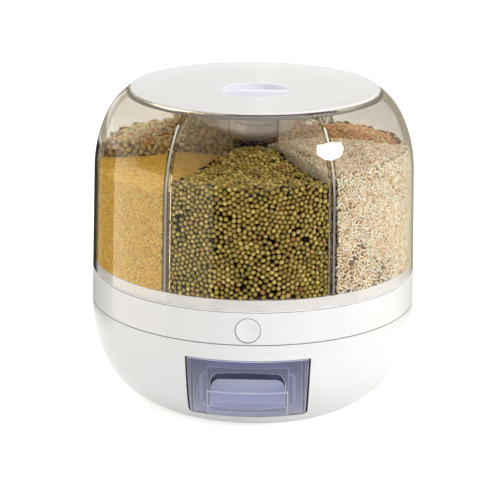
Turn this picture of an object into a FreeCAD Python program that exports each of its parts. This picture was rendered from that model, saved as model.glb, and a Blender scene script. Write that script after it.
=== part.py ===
"""Rotating food dispenser: six clear cells on a round base with a push button and a measuring tray.

Millimetres. The origin is the middle of the feet's plane, +Z is up, and the button and the tray face -Y.
"""

import FreeCAD, Part
import math
import os

V = FreeCAD.Vector
ORIGIN = V(0, 0, 0)
UP = V(0, 0, 1)
BACK = V(0, 1, 0)

# Clearances
run_gap = 0.3  # between pieces that move past each other
seat_gap = 0.15  # between pieces that stay together
bore_gap = 0.06  # running fit, on the radius
far = 400.0  # longer than any cut has to reach

# Outline of the base: a belly arc and a foot arc that runs out under it
rim_z = 119.0
rim_r = 150.0
belly_out = 0.7
belly_up = 0.6
belly_arc_r = 162.3
belly_turn = 16.2
foot_arc_under = 6.7
base_wall = 2.6
collar_h = 29.2
seam_line = 0.6
edge_soft = 0.5
tongue_h = 5.0
tongue_t = 1.6

# Feet and base screws
foot_out = 1.2
foot_r = 9.0
foot_sink = 1.2
foot_ring_in = 62.0
foot_angles = [0, 72, 144, 216, 288]
post_ring_in = 58.0
post_angles = [60, 120, 180, 240, 300]
post_r = 6.0
post_top = 60.0
post_seat_t = 8.0
screw_r = 1.7
screw_head_r = 3.8
screw_head_h = 2.6
screw_bite = 14.0

# Outline of the drum: a drawn wall, a shoulder arc and a top arc up to the neck
drum_gap = 0.6
drum_straight_h = 95.7
drum_draft = 1.47
shoulder_arc_r = 114.8
shoulder_turn = 25.1
top_arc_r = 58.8
neck_in = 34.5
neck_t = 3.5
neck_h = 4.1
barrel_wall = 2.6
lip_h = 1.2
lip_in = 1.0

# Cells
cell_count = 6
divider_t = 2.0
divider_drop = 6.2
rib_t = 1.6
rib_h = 4.0
column_r = 14.2
column_bore_r = 8.0
column_gap = 5.0
column_foot_r = 20.0
column_foot_h = 3.0
column_flare_h = 9.0
groove_deep = 3.2
bowl_room = 6.5
bowl_room_h = 3.0
divider_slope = 12.0

# Drum floor, its funnels and its bearing
deck_t = 2.5
deck_drop = 0.8
floor_up = 11.0
floor_t = 2.5
cone_foot_r = 52.0
cone_h = 17.5
funnel_room = 1.0
funnel_wall = 2.2
outlet_r = 16.0
spigot_r = 12.0
hub_wall = 4.0
hub_drop = 1.6
washer_over = 3.0
washer_t = 1.5
pivot_screw_r = 2.0
pivot_head_r = 5.0
pivot_head_h = 3.0
pivot_bite = 18.0
ball_r = 3.0
ball_count = 12
race_in = 12.0
race_w = 6.0
race_h = 3.0
ball_gap = 0.05
cage_w = 4.0
cage_t = 1.4

# Clicks at each cell
notch_rib_in = 10.3
notch_rib_w = 1.3
notch_rib_h = 5.5
click_r = 2.4
leaf_gap = 0.6
leaf_half = 22.0
leaf_w = 5.0
leaf_t = 0.8

# Button, yoke, shutter and its channel
button_r = 11.0
button_out = 0.3
button_dish = 1.2
button_travel = 12.0
sleeve_deep = 9.0
sleeve_wall = 2.0
button_flange_r = 12.0
button_flange_t = 1.5
yoke_w = 6.0
yoke_side_gap = 2.5
yoke_bar_t = 4.0
peg_in = 9.0
gate_edge = 6.0
gate_t = 2.8
gate_lap = 2.0
gate_tail = 23.0
guide_t = 2.5
guide_wall = 2.7
guide_lead = 5.0
guide_tail = 4.0
chute_wall = 2.0
chute_gap = 2.5
ear_w = 10.0
ear_out = 9.0
guide_screw_r = 1.3
guide_head_r = 2.8
guide_head_h = 1.8
spring_wire_r = 0.45
spring_r = 4.5
spring_turns = 6
spring_seat_t = 1.0

# Window and measuring tray
window_drop = 14.4
window_low_z = 13.8
window_top_half = 55.3
window_low_half = 53.0
window_corner_r = 4.0
tray_side_gap = 1.6
tray_edge_gap = 0.9
tray_front_t = 3.0
tray_wall = 2.0
bin_in = 1.4
tray_back_y = -20.0
pull_half = 35.5
pull_proud = 2.0
pull_wall = 2.4
pull_side_t = 2.2
pull_up = 1.3
pull_h = 27.5
pocket_deep = 22.7
pocket_top_in = 9.2
pocket_ramp_h = 15.3
pocket_sink = 15.1
pocket_floor_drop = 4.5
pocket_corner_r = 8.0
frame_out = 6.0
frame_in = 3.3
frame_under = 2.4
frame_corner_r = 6.0
frame_h = 1.6
frame_t = 1.6
rail_in = 4.0
rail_w = 8.0
guide_side_t = 2.0
guide_side_h = 14.0

# Lid, grip and drying parts
lid_in = 1.5
lid_gap = 0.8
lid_edge_h = 1.5
lid_edge_in = 3.0
lid_t = 2.2
dish_in = 22.0
dish_drop = 2.6
dish_slope = 0.9
plug_in = 1.7
plug_t = 2.0
plug_low = 0.6
plug_bead_h = 0.8
plug_bead_out = 0.9
seal_gap = 0.08
seal_h = 3.4
seal_flange_out = 0.8
grip_r = 37.5
grip_flange_t = 1.2
pit_r = 30.0
pit_deep = 24.0
pit_wall = 1.8
bar_t = 7.0
bar_slot_t = 3.4
boss_h = 6.0
boss_t = 1.5
bowl_deep = 38.1
bowl_wall = 1.6
bowl_corner_r = 9.0
cup_r = 19.0
cup_wall = 1.4
cup_drop = 7.0
cup_h = 17.0
cup_corner_r = 6.0
collar_t = 3.2
lug_out = 1.5
lug_up = 4.0
lug_h = 2.2
lug_arc = 30.0
cup_turn = 60.0
pack_gap = 5.3
pack_h = 11.5

# Heights of the base and the drum's floor, from the rim
seam_z = rim_z - collar_h
belly_z = seam_z + belly_up
floor_in_z = foot_out + base_wall
base_screw_seat = post_top - post_seat_t
deck_z = rim_z - deck_drop
deck_low_z = deck_z - deck_t
drum_low_z = rim_z + drum_gap
barrel_low_z = drum_low_z + lip_h
floor_z = rim_z + floor_up
cone_top_z = floor_z + cone_h
hub_top_z = cone_top_z - hub_drop
funnel_low_z = deck_z + run_gap
race_low_z = deck_z + race_h
ball_z = race_low_z + ball_r / 2
notch_rib_z = floor_z - floor_t - notch_rib_h
click_z = notch_rib_z - leaf_gap
button_z = deck_low_z - run_gap - button_flange_r
gate_z = deck_low_z - run_gap
gate_low_z = gate_z - gate_t
guide_z = gate_low_z - run_gap
guide_low_z = guide_z - guide_t
window_top_z = seam_z - window_drop
tray_low_z = window_low_z + tray_edge_gap
tray_top_z = window_top_z - tray_edge_gap
tray_floor_z = tray_low_z + tray_wall
chute_low_z = tray_top_z + chute_gap
pull_low_z = tray_low_z + pull_up
pull_top_z = pull_low_z + pull_h
pocket_top_z = tray_top_z - pocket_top_in
pocket_ramp_z = pocket_top_z - pocket_ramp_h
pocket_floor_z = pull_top_z - pocket_sink
frame_top_z = pocket_top_z - frame_in
frame_low_z = pocket_floor_z - frame_under

# Widths, from the rim inwards and from the axis outwards
belly_r = rim_r + belly_out
foot_ring_r = rim_r - foot_ring_in
post_ring_r = rim_r - post_ring_in
drum_foot_r = rim_r
neck_r = drum_foot_r - neck_in
neck_bore_r = neck_r - neck_t
notch_rib_r = rim_r - notch_rib_in
funnel_space = notch_rib_r - notch_rib_w - cone_foot_r
funnel_ring_r = cone_foot_r + funnel_space / 2
funnel_r = funnel_space / 2 - funnel_wall - funnel_room
washer_r = spigot_r + washer_over
race_r = cone_foot_r - race_in
chute_r = outlet_r + 0.5
yoke_x = chute_r + chute_wall + yoke_side_gap + yoke_w / 2
gate_half_w = yoke_x + gate_edge
tray_half_w = window_low_half - tray_side_gap - bin_in
rail_half_x = tray_half_w - rail_in
pocket_half = pull_half - pull_side_t
frame_half = pull_half + frame_out
lid_r = neck_r - lid_in
dish_r = lid_r - dish_in
plug_r = neck_bore_r - plug_in
bowl_r = grip_r
bowl_room_r = bowl_r + bowl_room
pack_r = cup_r - cup_wall - pack_gap

# Places along Y
button_front_y = -(belly_r - 0.3 + button_out)
sleeve_end_y = -(belly_r - sleeve_deep)
flange_y = sleeve_end_y + run_gap
yoke_front_y = flange_y + button_flange_t
yoke_back_y = yoke_front_y + yoke_bar_t
spring_seat_y = -(funnel_ring_r + chute_r + chute_wall + spring_seat_t)
gate_front_y = -(funnel_ring_r + outlet_r + gate_lap)
gate_back_y = -(funnel_ring_r - outlet_r - gate_tail)
gate_peg_y = gate_back_y - peg_in
guide_front_y = gate_front_y - guide_lead
guide_back_y = gate_back_y + button_travel + guide_tail
pocket_back_y = -(belly_r - pocket_deep)


def side_path(radius_at, joins, z_from, z_to, inset):
    """Points and arc points of a side, from one height to another, moved inwards by the inset."""
    between = sorted(z for z in joins(inset) if min(z_from, z_to) < z < max(z_from, z_to))
    if z_to < z_from:
        between.reverse()
    stops = [z_from, *between, z_to]
    path = [(radius_at(z_from, inset), z_from)]
    for low, high in zip(stops, stops[1:]):
        middle = (low + high) / 2
        on_line = (radius_at(low, inset) + radius_at(high, inset)) / 2
        if abs(radius_at(middle, inset) - on_line) > 1e-6:
            path.append(("via", radius_at(middle, inset), middle))
        path.append((radius_at(high, inset), high))
    return path


turn = math.radians(belly_turn)
foot_arc_r = (belly_z + foot_arc_under - belly_arc_r * math.sin(turn)) / (1 - math.sin(turn))
belly_centre = (belly_r - belly_arc_r, belly_z)
foot_centre = (
    belly_centre[0] + (belly_arc_r - foot_arc_r) * math.cos(turn),
    belly_centre[1] - (belly_arc_r - foot_arc_r) * math.sin(turn),
)


def base_joins(inset):
    """Heights where the base's side changes from one curve to the next."""
    return [belly_z - (belly_arc_r - inset) * math.sin(turn), belly_z]


def base_radius(z, inset=0.0):
    """Radius of the base's side at a height, for a skin that lies the inset inside it."""
    if z >= belly_z:
        return belly_r + (rim_r - belly_r) * (z - belly_z) / (rim_z - belly_z) - inset
    if z > base_joins(inset)[0]:
        return belly_centre[0] + math.sqrt((belly_arc_r - inset) ** 2 - (z - belly_centre[1]) ** 2)
    return foot_centre[0] + math.sqrt((foot_arc_r - inset) ** 2 - (z - foot_centre[1]) ** 2)


def base_path(z_from, z_to, inset=0.0):
    """The base's side as a path."""
    return side_path(base_radius, base_joins, z_from, z_to, inset)


draft = math.radians(drum_draft)
top_start = draft + math.radians(shoulder_turn)
shoulder_z = drum_low_z + drum_straight_h
shoulder_r = drum_foot_r - drum_straight_h * math.tan(draft)
shoulder_centre = (
    shoulder_r - shoulder_arc_r * math.cos(draft),
    shoulder_z - shoulder_arc_r * math.sin(draft),
)
top_centre = (
    shoulder_centre[0] + (shoulder_arc_r - top_arc_r) * math.cos(top_start),
    shoulder_centre[1] + (shoulder_arc_r - top_arc_r) * math.sin(top_start),
)
neck_z = top_centre[1] + math.sqrt(top_arc_r**2 - (neck_r - top_centre[0]) ** 2)
neck_low_z = neck_z - neck_h
divider_top = neck_low_z - divider_drop
lid_low_z = neck_z + lid_gap
lid_z = lid_low_z + lid_edge_h
dish_z = lid_z - dish_drop
middle_z = dish_z - dish_slope
plug_low_z = neck_low_z - plug_low
bowl_low_z = middle_z - bowl_deep
bowl_room_z = bowl_low_z - bowl_room_h
cup_low_z = bowl_low_z - cup_drop
cup_top_z = cup_low_z + cup_h
collar_top_z = cup_top_z
lug_z = bowl_low_z + lug_up
column_top = cup_low_z - column_gap


def drum_joins(inset):
    """Heights where the drum's side changes from one curve to the next."""
    shoulder = shoulder_z - inset * math.sin(draft)
    top = top_centre[1] + (top_arc_r - inset) * math.sin(top_start)
    return [shoulder, top]


def drum_radius(z, inset=0.0):
    """Radius of the drum's side at a height, for a skin that lies the inset inside it."""
    shoulder, top = drum_joins(inset)
    if z <= shoulder:
        return drum_foot_r - (z - drum_low_z) * math.tan(draft) - inset / math.cos(draft)
    if z <= top:
        return shoulder_centre[0] + math.sqrt((shoulder_arc_r - inset) ** 2 - (z - shoulder_centre[1]) ** 2)
    return top_centre[0] + math.sqrt((top_arc_r - inset) ** 2 - (z - top_centre[1]) ** 2)


def drum_path(z_from, z_to, inset=0.0):
    """The drum's side as a path."""
    return side_path(drum_radius, drum_joins, z_from, z_to, inset)


def flat_face(path, place):
    """Closed face from a path, whose arcs pass through its "via" points."""
    edges = []
    here, via = path[0], None
    for step in [*path[1:], path[0]]:
        if step[0] == "via":
            via = step[1:]
            continue
        start, end = place(*here), place(*step)
        if via:
            edges.append(Part.Arc(start, place(*via), end).toShape())
        elif start.distanceToPoint(end) > 1e-6:
            edges.append(Part.LineSegment(start, end).toShape())
        here, via = step, None
    return Part.Face(Part.Wire(edges))


def spin(path):
    """Solid that a path of radius and height makes round the upright axis."""
    return flat_face(path, lambda r, z: V(r, 0, z)).revolve(ORIGIN, UP, 360)


def plate(path, thickness):
    """Upright plate through the axis, towards -Y, from a path of radius and height."""
    face = flat_face(path, lambda r, z: V(-thickness / 2, -r, z))
    return face.extrude(V(thickness, 0, 0))


def tube(r_in, r_out, z_low, z_high):
    """Round wall about the upright axis."""
    return spin([(r_in, z_low), (r_out, z_low), (r_out, z_high), (r_in, z_high)])


def rod(radius, z_low, z_high, x=0.0, y=0.0):
    """Upright cylinder."""
    return Part.makeCylinder(radius, z_high - z_low, V(x, y, z_low))


def rod_y(radius, y_low, y_high, z, x=0.0):
    """Cylinder along Y."""
    return Part.makeCylinder(radius, y_high - y_low, V(x, y_low, z), BACK)


def block(x_low, x_high, y_low, y_high, z_low, z_high):
    """Box between two corners."""
    return Part.makeBox(x_high - x_low, y_high - y_low, z_high - z_low, V(x_low, y_low, z_low))


def turned(shape, angle):
    """Copy of a shape turned about the upright axis."""
    copy = shape.copy()
    copy.rotate(ORIGIN, UP, angle)
    return copy


def spot(ring_r, angle):
    """Point on a circle, at an angle from the front."""
    a = math.radians(angle)
    return ring_r * math.sin(a), -ring_r * math.cos(a)


def joined(shapes):
    """One solid from several that meet."""
    return shapes[0].fuse(list(shapes[1:])).removeSplitter()


def save(name, shape):
    """Write one piece and print its size."""
    shape.exportStep(os.path.join("parts", name + ".step"))
    box = shape.BoundBox
    print(f"{name}: {len(shape.Solids)} solids, {shape.Volume / 1000:.1f} cm3, valid {shape.isValid()},"
          f" z {box.ZMin:.1f} to {box.ZMax:.1f}")


# The base

def wedge_prism(top_half, low_half, z_top, z_low, y_low, y_high, corner_r):
    """Prism along Y whose front outline is narrower below, with round lower corners."""
    corners = [V(-top_half, y_low, z_top), V(top_half, y_low, z_top),
               V(low_half, y_low, z_low), V(-low_half, y_low, z_low)]
    prism = Part.Face(Part.makePolygon([*corners, corners[0]])).extrude(V(0, y_high - y_low, 0))
    low_edges = [e for e in prism.Edges
                 if e.Length > (y_high - y_low) * 0.99 and abs(e.CenterOfMass.z - z_low) < 1e-3
                 and abs(e.Vertexes[0].X - e.Vertexes[1].X) < 1e-3]
    return prism.makeFillet(corner_r, low_edges)


def base_shell():
    """Lower bowl with its screw posts, pad seats and tray window."""
    bowl = spin([(0, foot_out), *base_path(foot_out, seam_z),
                 *base_path(seam_z, floor_in_z, base_wall), (0, floor_in_z)])
    posts = [rod(post_r, floor_in_z - base_wall / 2, post_top, *spot(post_ring_r, a)) for a in post_angles]
    cuts = [wedge_prism(window_top_half, window_low_half, window_top_z, window_low_z,
                        -far / 2, -base_radius(window_low_z) / 2, window_corner_r)]
    for a in post_angles:
        x, y = spot(post_ring_r, a)
        cuts.append(rod(screw_head_r + run_gap, 0, base_screw_seat, x, y))
        cuts.append(rod(screw_r + seat_gap, base_screw_seat, post_top + 1, x, y))
    cuts += [rod(foot_r + seat_gap, 0, foot_out + foot_sink, *spot(foot_ring_r, a)) for a in foot_angles]
    return joined([bowl, *posts]).cut(cuts)


def rubber_feet():
    """Round pads in the seats under the base."""
    pads = []
    for a in foot_angles:
        x, y = spot(foot_ring_r, a)
        pad = rod(foot_r, 0, foot_out + foot_sink, x, y)
        low = [e for e in pad.Edges if abs(e.BoundBox.ZMax) < 1e-6]
        pads.append(pad.makeChamfer(foot_out / 3, low))
    return Part.makeCompound(pads)


def screw(shank_r, shank_low, shank_high, head_r, head_low, x, y, socket_r):
    """Screw with a round head and a driver socket in it, with its tip at one end of the shank."""
    head_high = shank_low if head_low < shank_low else shank_high
    low, high = (head_low, head_high) if head_low < shank_low else (head_high, head_low)
    body = rod(shank_r, shank_low, shank_high, x, y).fuse(rod(head_r, low, high, x, y))
    deep = (high - low) / 2
    outside = low if head_low < shank_low else high - deep
    return body.removeSplitter().cut(rod(socket_r, outside, outside + deep, x, y))


def base_screws():
    """Long screws that go up through the bowl's posts into the deck's posts."""
    return Part.makeCompound([
        screw(screw_r, base_screw_seat, post_top + screw_bite, screw_head_r, base_screw_seat - screw_head_h,
              *spot(post_ring_r, a), screw_r) for a in post_angles])


def upper_base():
    """Upper ring with its tongue, the deck with its spigot, race and posts, and the button's sleeve."""
    top_in = (base_radius(rim_z, base_wall), rim_z)
    half = base_wall / 2
    ring = spin([*base_path(seam_z + seam_line, rim_z - edge_soft), (base_radius(rim_z, edge_soft), rim_z),
                 top_in, (top_in[0], deck_z), (0, deck_z), (0, deck_low_z),
                 *base_path(deck_low_z, seam_z, base_wall), *base_path(seam_z, seam_z + seam_line, half)])
    tongue_in = base_wall + seat_gap
    tongue = spin([*base_path(seam_z - tongue_h, seam_z + tongue_h, tongue_in),
                   *base_path(seam_z + tongue_h, seam_z - tongue_h, tongue_in + tongue_t)])
    step = spin([*base_path(seam_z + seam_line, seam_z + tongue_h, half),
                 *base_path(seam_z + tongue_h, seam_z + seam_line, tongue_in + tongue_t / 2)])
    spigot = rod(spigot_r, deck_low_z, hub_top_z + run_gap)
    race = tube(race_r - race_w, race_r + race_w, deck_low_z + deck_t / 2, race_low_z)
    posts = [rod(post_r - 1, post_top, deck_low_z + deck_t / 2, *spot(post_ring_r, a)) for a in post_angles]
    sleeve = rod_y(button_r + run_gap + sleeve_wall, -(belly_r - base_wall / 2), sleeve_end_y, button_z)
    solid = joined([ring, step, tongue, spigot, race, sleeve, *posts])
    pilot = screw_r + bore_gap
    cuts = [rod_y(button_r + run_gap, -far / 2, sleeve_end_y + 1, button_z),
            rod(outlet_r, deck_low_z - 1, deck_z + 1, 0, -funnel_ring_r),
            rod(pivot_screw_r + bore_gap, hub_top_z - pivot_bite - 1, hub_top_z + 1),
            Part.makeTorus(race_r, ball_r + ball_gap, V(0, 0, ball_z))]
    cuts += [rod(pilot, post_top - 1, post_top + screw_bite + 1, *spot(post_ring_r, a)) for a in post_angles]
    cuts += [rod(guide_screw_r + bore_gap, deck_low_z - 1, deck_z - 0.5, x, y) for x, y in ear_spots()]
    return solid.cut(cuts)


def tray_guide():
    """Frame on the base's floor: two rails with side walls, and the tray's back stop."""
    low, top = floor_in_z, tray_low_z - run_gap
    back = tray_back_y + run_gap
    outer = tray_half_w + run_gap + guide_side_t
    pieces = [block(-outer, outer, back, back + guide_side_t, low, top + guide_side_h)]
    for side in (-1, 1):
        x_low, x_high = sorted([side * (rail_half_x - rail_w / 2), side * outer])
        pieces.append(block(x_low, x_high, -far / 2, back + guide_side_t, low, top))
        x_low, x_high = sorted([side * (outer - guide_side_t), side * outer])
        pieces.append(block(x_low, x_high, -far / 2, back + guide_side_t, low, top + guide_side_h))
    room = spin([(0, low), *base_path(low, seam_z, base_wall + tray_front_t + 1.0), (0, seam_z)])
    return joined(pieces).common(room)


# The shutter and what moves it

def ear_spots():
    """Places of the channel's screws."""
    x = gate_half_w + run_gap + ear_out / 2 + guide_wall / 2
    return [(side * x, y) for side in (-1, 1) for y in (guide_front_y + ear_w / 2, guide_back_y - ear_w / 2)]


def gate_plate():
    """Flat shutter with a thin front edge and holes for the yoke's pegs."""
    solid = block(-gate_half_w, gate_half_w, gate_front_y, gate_back_y, gate_low_z, gate_z)
    front = [e for e in solid.Edges
             if e.BoundBox.YMax < gate_front_y + 1e-3 and e.BoundBox.ZMax < gate_low_z + 1e-3]
    solid = solid.makeChamfer(gate_t / 2, front)
    return solid.cut([rod(yoke_w / 4 + seat_gap, gate_low_z - 1, gate_z + 1, side * yoke_x, gate_peg_y)
                      for side in (-1, 1)])


def gate_guide():
    """Channel under the deck for the shutter, with screw ears, the yoke's slots and the chute."""
    outer = gate_half_w + run_gap + guide_wall
    floor = block(-outer, outer, guide_front_y, guide_back_y, guide_low_z, guide_z)
    pieces = [floor, rod(chute_r + chute_wall, chute_low_z, guide_z, 0, -funnel_ring_r)]
    for side in (-1, 1):
        x_low, x_high = sorted([side * (gate_half_w + run_gap), side * outer])
        pieces.append(block(x_low, x_high, guide_front_y, guide_back_y, guide_low_z, deck_low_z))
    for x, y in ear_spots():
        x_low, x_high = sorted([math.copysign(outer - 1, x), math.copysign(outer + ear_out, x)])
        pieces.append(block(x_low, x_high, y - ear_w / 2, y + ear_w / 2, deck_low_z - guide_t, deck_low_z))
    seat = spring_r + 2.0
    pieces.append(block(-seat, seat, spring_seat_y, spring_seat_y + 3 * chute_wall, button_z - seat, guide_z))
    slot = yoke_w / 2 + run_gap
    cuts = [rod(chute_r, chute_low_z - 1, guide_z + 1, 0, -funnel_ring_r)]
    for side in (-1, 1):
        cuts.append(block(side * yoke_x - slot, side * yoke_x + slot, gate_peg_y - slot,
                          gate_peg_y + slot + button_travel, guide_low_z - 1, guide_z + 1))
    cuts += [rod(guide_screw_r + seat_gap, guide_low_z, deck_low_z + 1, x, y) for x, y in ear_spots()]
    return joined(pieces).cut(cuts)


def guide_screws():
    """Small screws through the channel's ears into the deck."""
    seat = deck_low_z - guide_t
    return Part.makeCompound([
        screw(guide_screw_r, seat, deck_z - 0.6, guide_head_r, seat - guide_head_h, x, y, guide_screw_r)
        for x, y in ear_spots()])


def button_cap():
    """Round button with a dished face and a flange that holds it behind its sleeve."""
    edge = 1.0
    front, back = button_front_y, yoke_front_y
    hollow = button_r - 2.2
    path = [(0, front + button_dish), ("via", (button_r - edge) / 2, front + button_dish * 0.72),
            (button_r - edge, front), ("via", button_r - edge * 0.3, front + edge * 0.3),
            (button_r, front + edge), (button_r, flange_y), (button_flange_r, flange_y),
            (button_flange_r, back), (hollow, back), (hollow, front + 3.6), (0, front + 3.6)]
    face = flat_face(path, lambda r, y: V(r, y, button_z))
    return face.revolve(V(0, 0, button_z), BACK, 360)


def push_yoke():
    """Fork behind the button whose two arms pass the chute and lift up to the shutter."""
    low, high = button_z - yoke_w / 2, button_z + yoke_w / 2
    reach = yoke_x + yoke_w / 2
    end = gate_peg_y + yoke_w / 2
    pieces = [block(-reach, reach, yoke_front_y, yoke_back_y, low, high)]
    for side in (-1, 1):
        x = side * yoke_x
        pieces.append(block(x - yoke_w / 2, x + yoke_w / 2, yoke_front_y, end, low, high))
        pieces.append(block(x - yoke_w / 2, x + yoke_w / 2, end - yoke_w, end, low, gate_low_z))
        pieces.append(rod(yoke_w / 4, low + 1, gate_z - 0.4, x, gate_peg_y))
    return joined(pieces)


def arc_from(start, tangent, end):
    """Arc between two points that leaves the first along a tangent."""
    chord = end - start
    along = V(chord).normalize()
    side = (tangent - along * tangent.dot(along)).normalize()
    half_angle = tangent.getAngle(chord)
    bulge = chord.Length / 2 * math.tan(half_angle / 2)
    return Part.Arc(start, start + chord / 2 + side * bulge, end).toShape()


def two_arcs(start, tangent_a, end, tangent_b):
    """Two arcs between two points that keep both end tangents."""
    span, both = end - start, tangent_a + tangent_b
    square = 2 * (1 - tangent_a.dot(tangent_b))
    reach = (math.sqrt(span.dot(both) ** 2 + square * span.dot(span)) - span.dot(both)) / square
    middle = (start + end + (tangent_a - tangent_b) * reach) / 2
    last = arc_from(end, -tangent_b, middle)
    return [arc_from(start, tangent_a, middle), last]


def return_spring():
    """Coil between the yoke's bar and the chute's seat."""
    start = yoke_back_y + spring_wire_r + seat_gap
    length = spring_seat_y - spring_wire_r - seat_gap - start
    rise = length / spring_turns / (2 * math.pi)
    edges = []
    for k in range(2 * spring_turns):
        ends = []
        for a in (k * math.pi, (k + 1) * math.pi):
            place = V(spring_r * math.cos(a), start + rise * a, button_z + spring_r * math.sin(a))
            ends += [place, V(-spring_r * math.sin(a), rise, spring_r * math.cos(a)).normalize()]
        edges += two_arcs(*ends)
    section = Part.Wire(Part.makeCircle(spring_wire_r, V(spring_r, start, button_z), V(0, rise, spring_r)))
    return Part.Wire(edges).makePipeShell([section], True, False)


def detent_spring():
    """Leaf on two feet at the back of the deck, with a round bump in the turntable's notch."""
    y_low, y_high = notch_rib_r - leaf_w / 2, notch_rib_r + leaf_w / 2
    low = click_z - leaf_t
    pieces = [block(-leaf_half, leaf_half, y_low, y_high, low, click_z),
              rod_y(click_r, y_low, y_high, click_z)]
    for side in (-1, 1):
        x_low, x_high = sorted([side * (leaf_half - leaf_w), side * leaf_half])
        pieces.append(block(x_low, x_high, y_low, y_high, deck_z, low))
    below = block(-click_r - 1, click_r + 1, y_low - 1, y_high + 1, low - click_r, low)
    return joined(pieces).cut(below)


# The drum

def bearing_balls():
    """Balls between the two races."""
    return Part.makeCompound([
        Part.makeSphere(ball_r, V(*spot(race_r, 360 * k / ball_count), ball_z)) for k in range(ball_count)])


def ball_cage():
    """Flat ring that keeps the balls apart."""
    ring = tube(race_r - cage_w, race_r + cage_w, ball_z - cage_t / 2, ball_z + cage_t / 2)
    places = [spot(race_r, 360 * k / ball_count) for k in range(ball_count)]
    return ring.cut([rod(ball_r + run_gap, ball_z - cage_t, ball_z + cage_t, *place) for place in places])


def funnel_cone(extra_r, z_low, z_high):
    """Cone of one cell's funnel, between two heights, the given amount larger."""
    grow = (funnel_r - outlet_r) / (floor_z - funnel_low_z)
    low_r = outlet_r + extra_r + grow * (z_low - funnel_low_z)
    high_r = outlet_r + extra_r + grow * (z_high - funnel_low_z)
    return Part.makeCone(low_r, high_r, z_high - z_low, V(0, -funnel_ring_r, z_low))


def turntable():
    """Drum floor with a cone in the middle, six funnels, its hub, upper race and notch ring."""
    skirt_r = drum_radius(floor_z, barrel_wall) - seat_gap
    skirt_in = skirt_r - floor_t
    recess_r = washer_r + run_gap
    under = floor_z - floor_t
    sheet = spin([(recess_r, cone_top_z), (column_foot_r, cone_top_z), (cone_foot_r, floor_z),
                  (skirt_r, floor_z), (skirt_r, barrel_low_z), (drum_foot_r - lip_in, barrel_low_z),
                  (drum_foot_r - lip_in, drum_low_z), (skirt_in, drum_low_z), (skirt_in, under),
                  (cone_foot_r, under), (recess_r, cone_top_z - floor_t - 1)])
    bore = spigot_r + bore_gap
    hub = tube(bore, spigot_r + hub_wall, deck_z + run_gap, hub_top_z)
    shelf = tube(bore, recess_r + 1, hub_top_z - floor_t - 1, hub_top_z)
    race = tube(race_r - race_w, race_r + race_w, 2 * ball_z - race_low_z, cone_z(race_r))
    notch_rib = tube(notch_rib_r - notch_rib_w, notch_rib_r + notch_rib_w, notch_rib_z, under + 1)
    solid = [sheet, hub, shelf, race, notch_rib]
    above_cone = spin([(recess_r, cone_top_z), (column_foot_r, cone_top_z), (cone_foot_r, floor_z),
                       (skirt_r, floor_z), (skirt_r, far), (recess_r, far)])
    cuts = [above_cone, Part.makeTorus(race_r, ball_r + ball_gap, V(0, 0, ball_z))]
    notch = rod_y(click_r + run_gap, -notch_rib_r - 4, -notch_rib_r + 4, click_z)
    for k in range(cell_count):
        angle = 360 * k / cell_count
        solid.append(turned(funnel_cone(funnel_wall, funnel_low_z, floor_z - 1), angle))
        cuts.append(turned(funnel_cone(0, funnel_low_z - 1, floor_z + 1), angle))
        cuts.append(turned(notch, angle))
    return joined(solid).cut(cuts)


def barrel():
    """Clear wall and shoulder with a thick neck, and a pair of ribs for each divider."""
    soft = edge_soft
    wall = spin([*drum_path(barrel_low_z, neck_z - soft), (neck_r - soft, neck_z),
                 (neck_bore_r + soft, neck_z), (neck_bore_r, neck_z - soft), (neck_bore_r, neck_low_z),
                 *drum_path(neck_low_z, barrel_low_z, barrel_wall)])
    rib_low = floor_z + run_gap
    rib = plate([*drum_path(rib_low, neck_low_z + 1, barrel_wall / 2),
                 *drum_path(neck_low_z + 1, rib_low, barrel_wall + rib_h)], rib_t)
    rib = rib.cut(rod(neck_bore_r, rib_low, far))
    ribs = []
    for k in range(cell_count):
        for side in (-1, 1):
            copy = rib.copy()
            copy.translate(V(side * (divider_t / 2 + seat_gap + rib_t / 2), 0, 0))
            ribs.append(turned(copy, 360 * (k + 0.5) / cell_count))
    return joined([wall, *ribs])


def cone_z(r):
    """Height of the drum's middle cone at a radius."""
    return floor_z + (cone_top_z - floor_z) * (cone_foot_r - r) / (cone_foot_r - column_foot_r)


def divider(k):
    """Clear plate between two cells, from the column to the wall, cut away round the lid's bowl."""
    inner = column_r - groove_deep + seat_gap
    low = cone_top_z + column_flare_h / 2 + 2.5
    clear = column_foot_r + 1.0
    slope = divider_slope
    path = [(inner, low), (inner, bowl_room_z - slope), (bowl_room_r - slope, bowl_room_z - slope / 2),
            (bowl_room_r, bowl_room_z), (bowl_room_r, divider_top - slope),
            (bowl_room_r + slope, divider_top),
            *drum_path(divider_top, floor_z + run_gap, barrel_wall + run_gap),
            (cone_foot_r, floor_z + run_gap), (clear, cone_z(clear) + run_gap), (clear, low)]
    return turned(plate(path, divider_t), 360 * (k + 0.5) / cell_count)


def hub_column():
    """Hollow column with a rounded top and a groove for each divider."""
    foot_top = cone_top_z + column_foot_h
    flare = cone_top_z + column_flare_h
    dome = 5.0
    k = 1 - math.sqrt(0.5)
    solid = spin([(washer_r + run_gap, cone_top_z), (column_foot_r, cone_top_z), (column_foot_r, foot_top),
                  (column_r, flare), (column_r, column_top - dome),
                  ("via", column_r - dome * k, column_top - dome * k), (column_r - dome, column_top),
                  (0, column_top), (0, column_top - dome), (column_bore_r, column_top - dome),
                  (column_bore_r, flare), (washer_r + run_gap, foot_top)])
    half = divider_t / 2 + seat_gap
    groove = block(-half, half, -far, -(column_r - groove_deep), cone_top_z + column_flare_h / 2 + 1, far)
    return solid.cut([turned(groove, 360 * (k + 0.5) / cell_count) for k in range(cell_count)])


def pivot_washer():
    """Flat washer on the spigot that keeps the drum down."""
    low = hub_top_z + run_gap
    return tube(pivot_screw_r + seat_gap, washer_r, low, low + washer_t)


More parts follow.
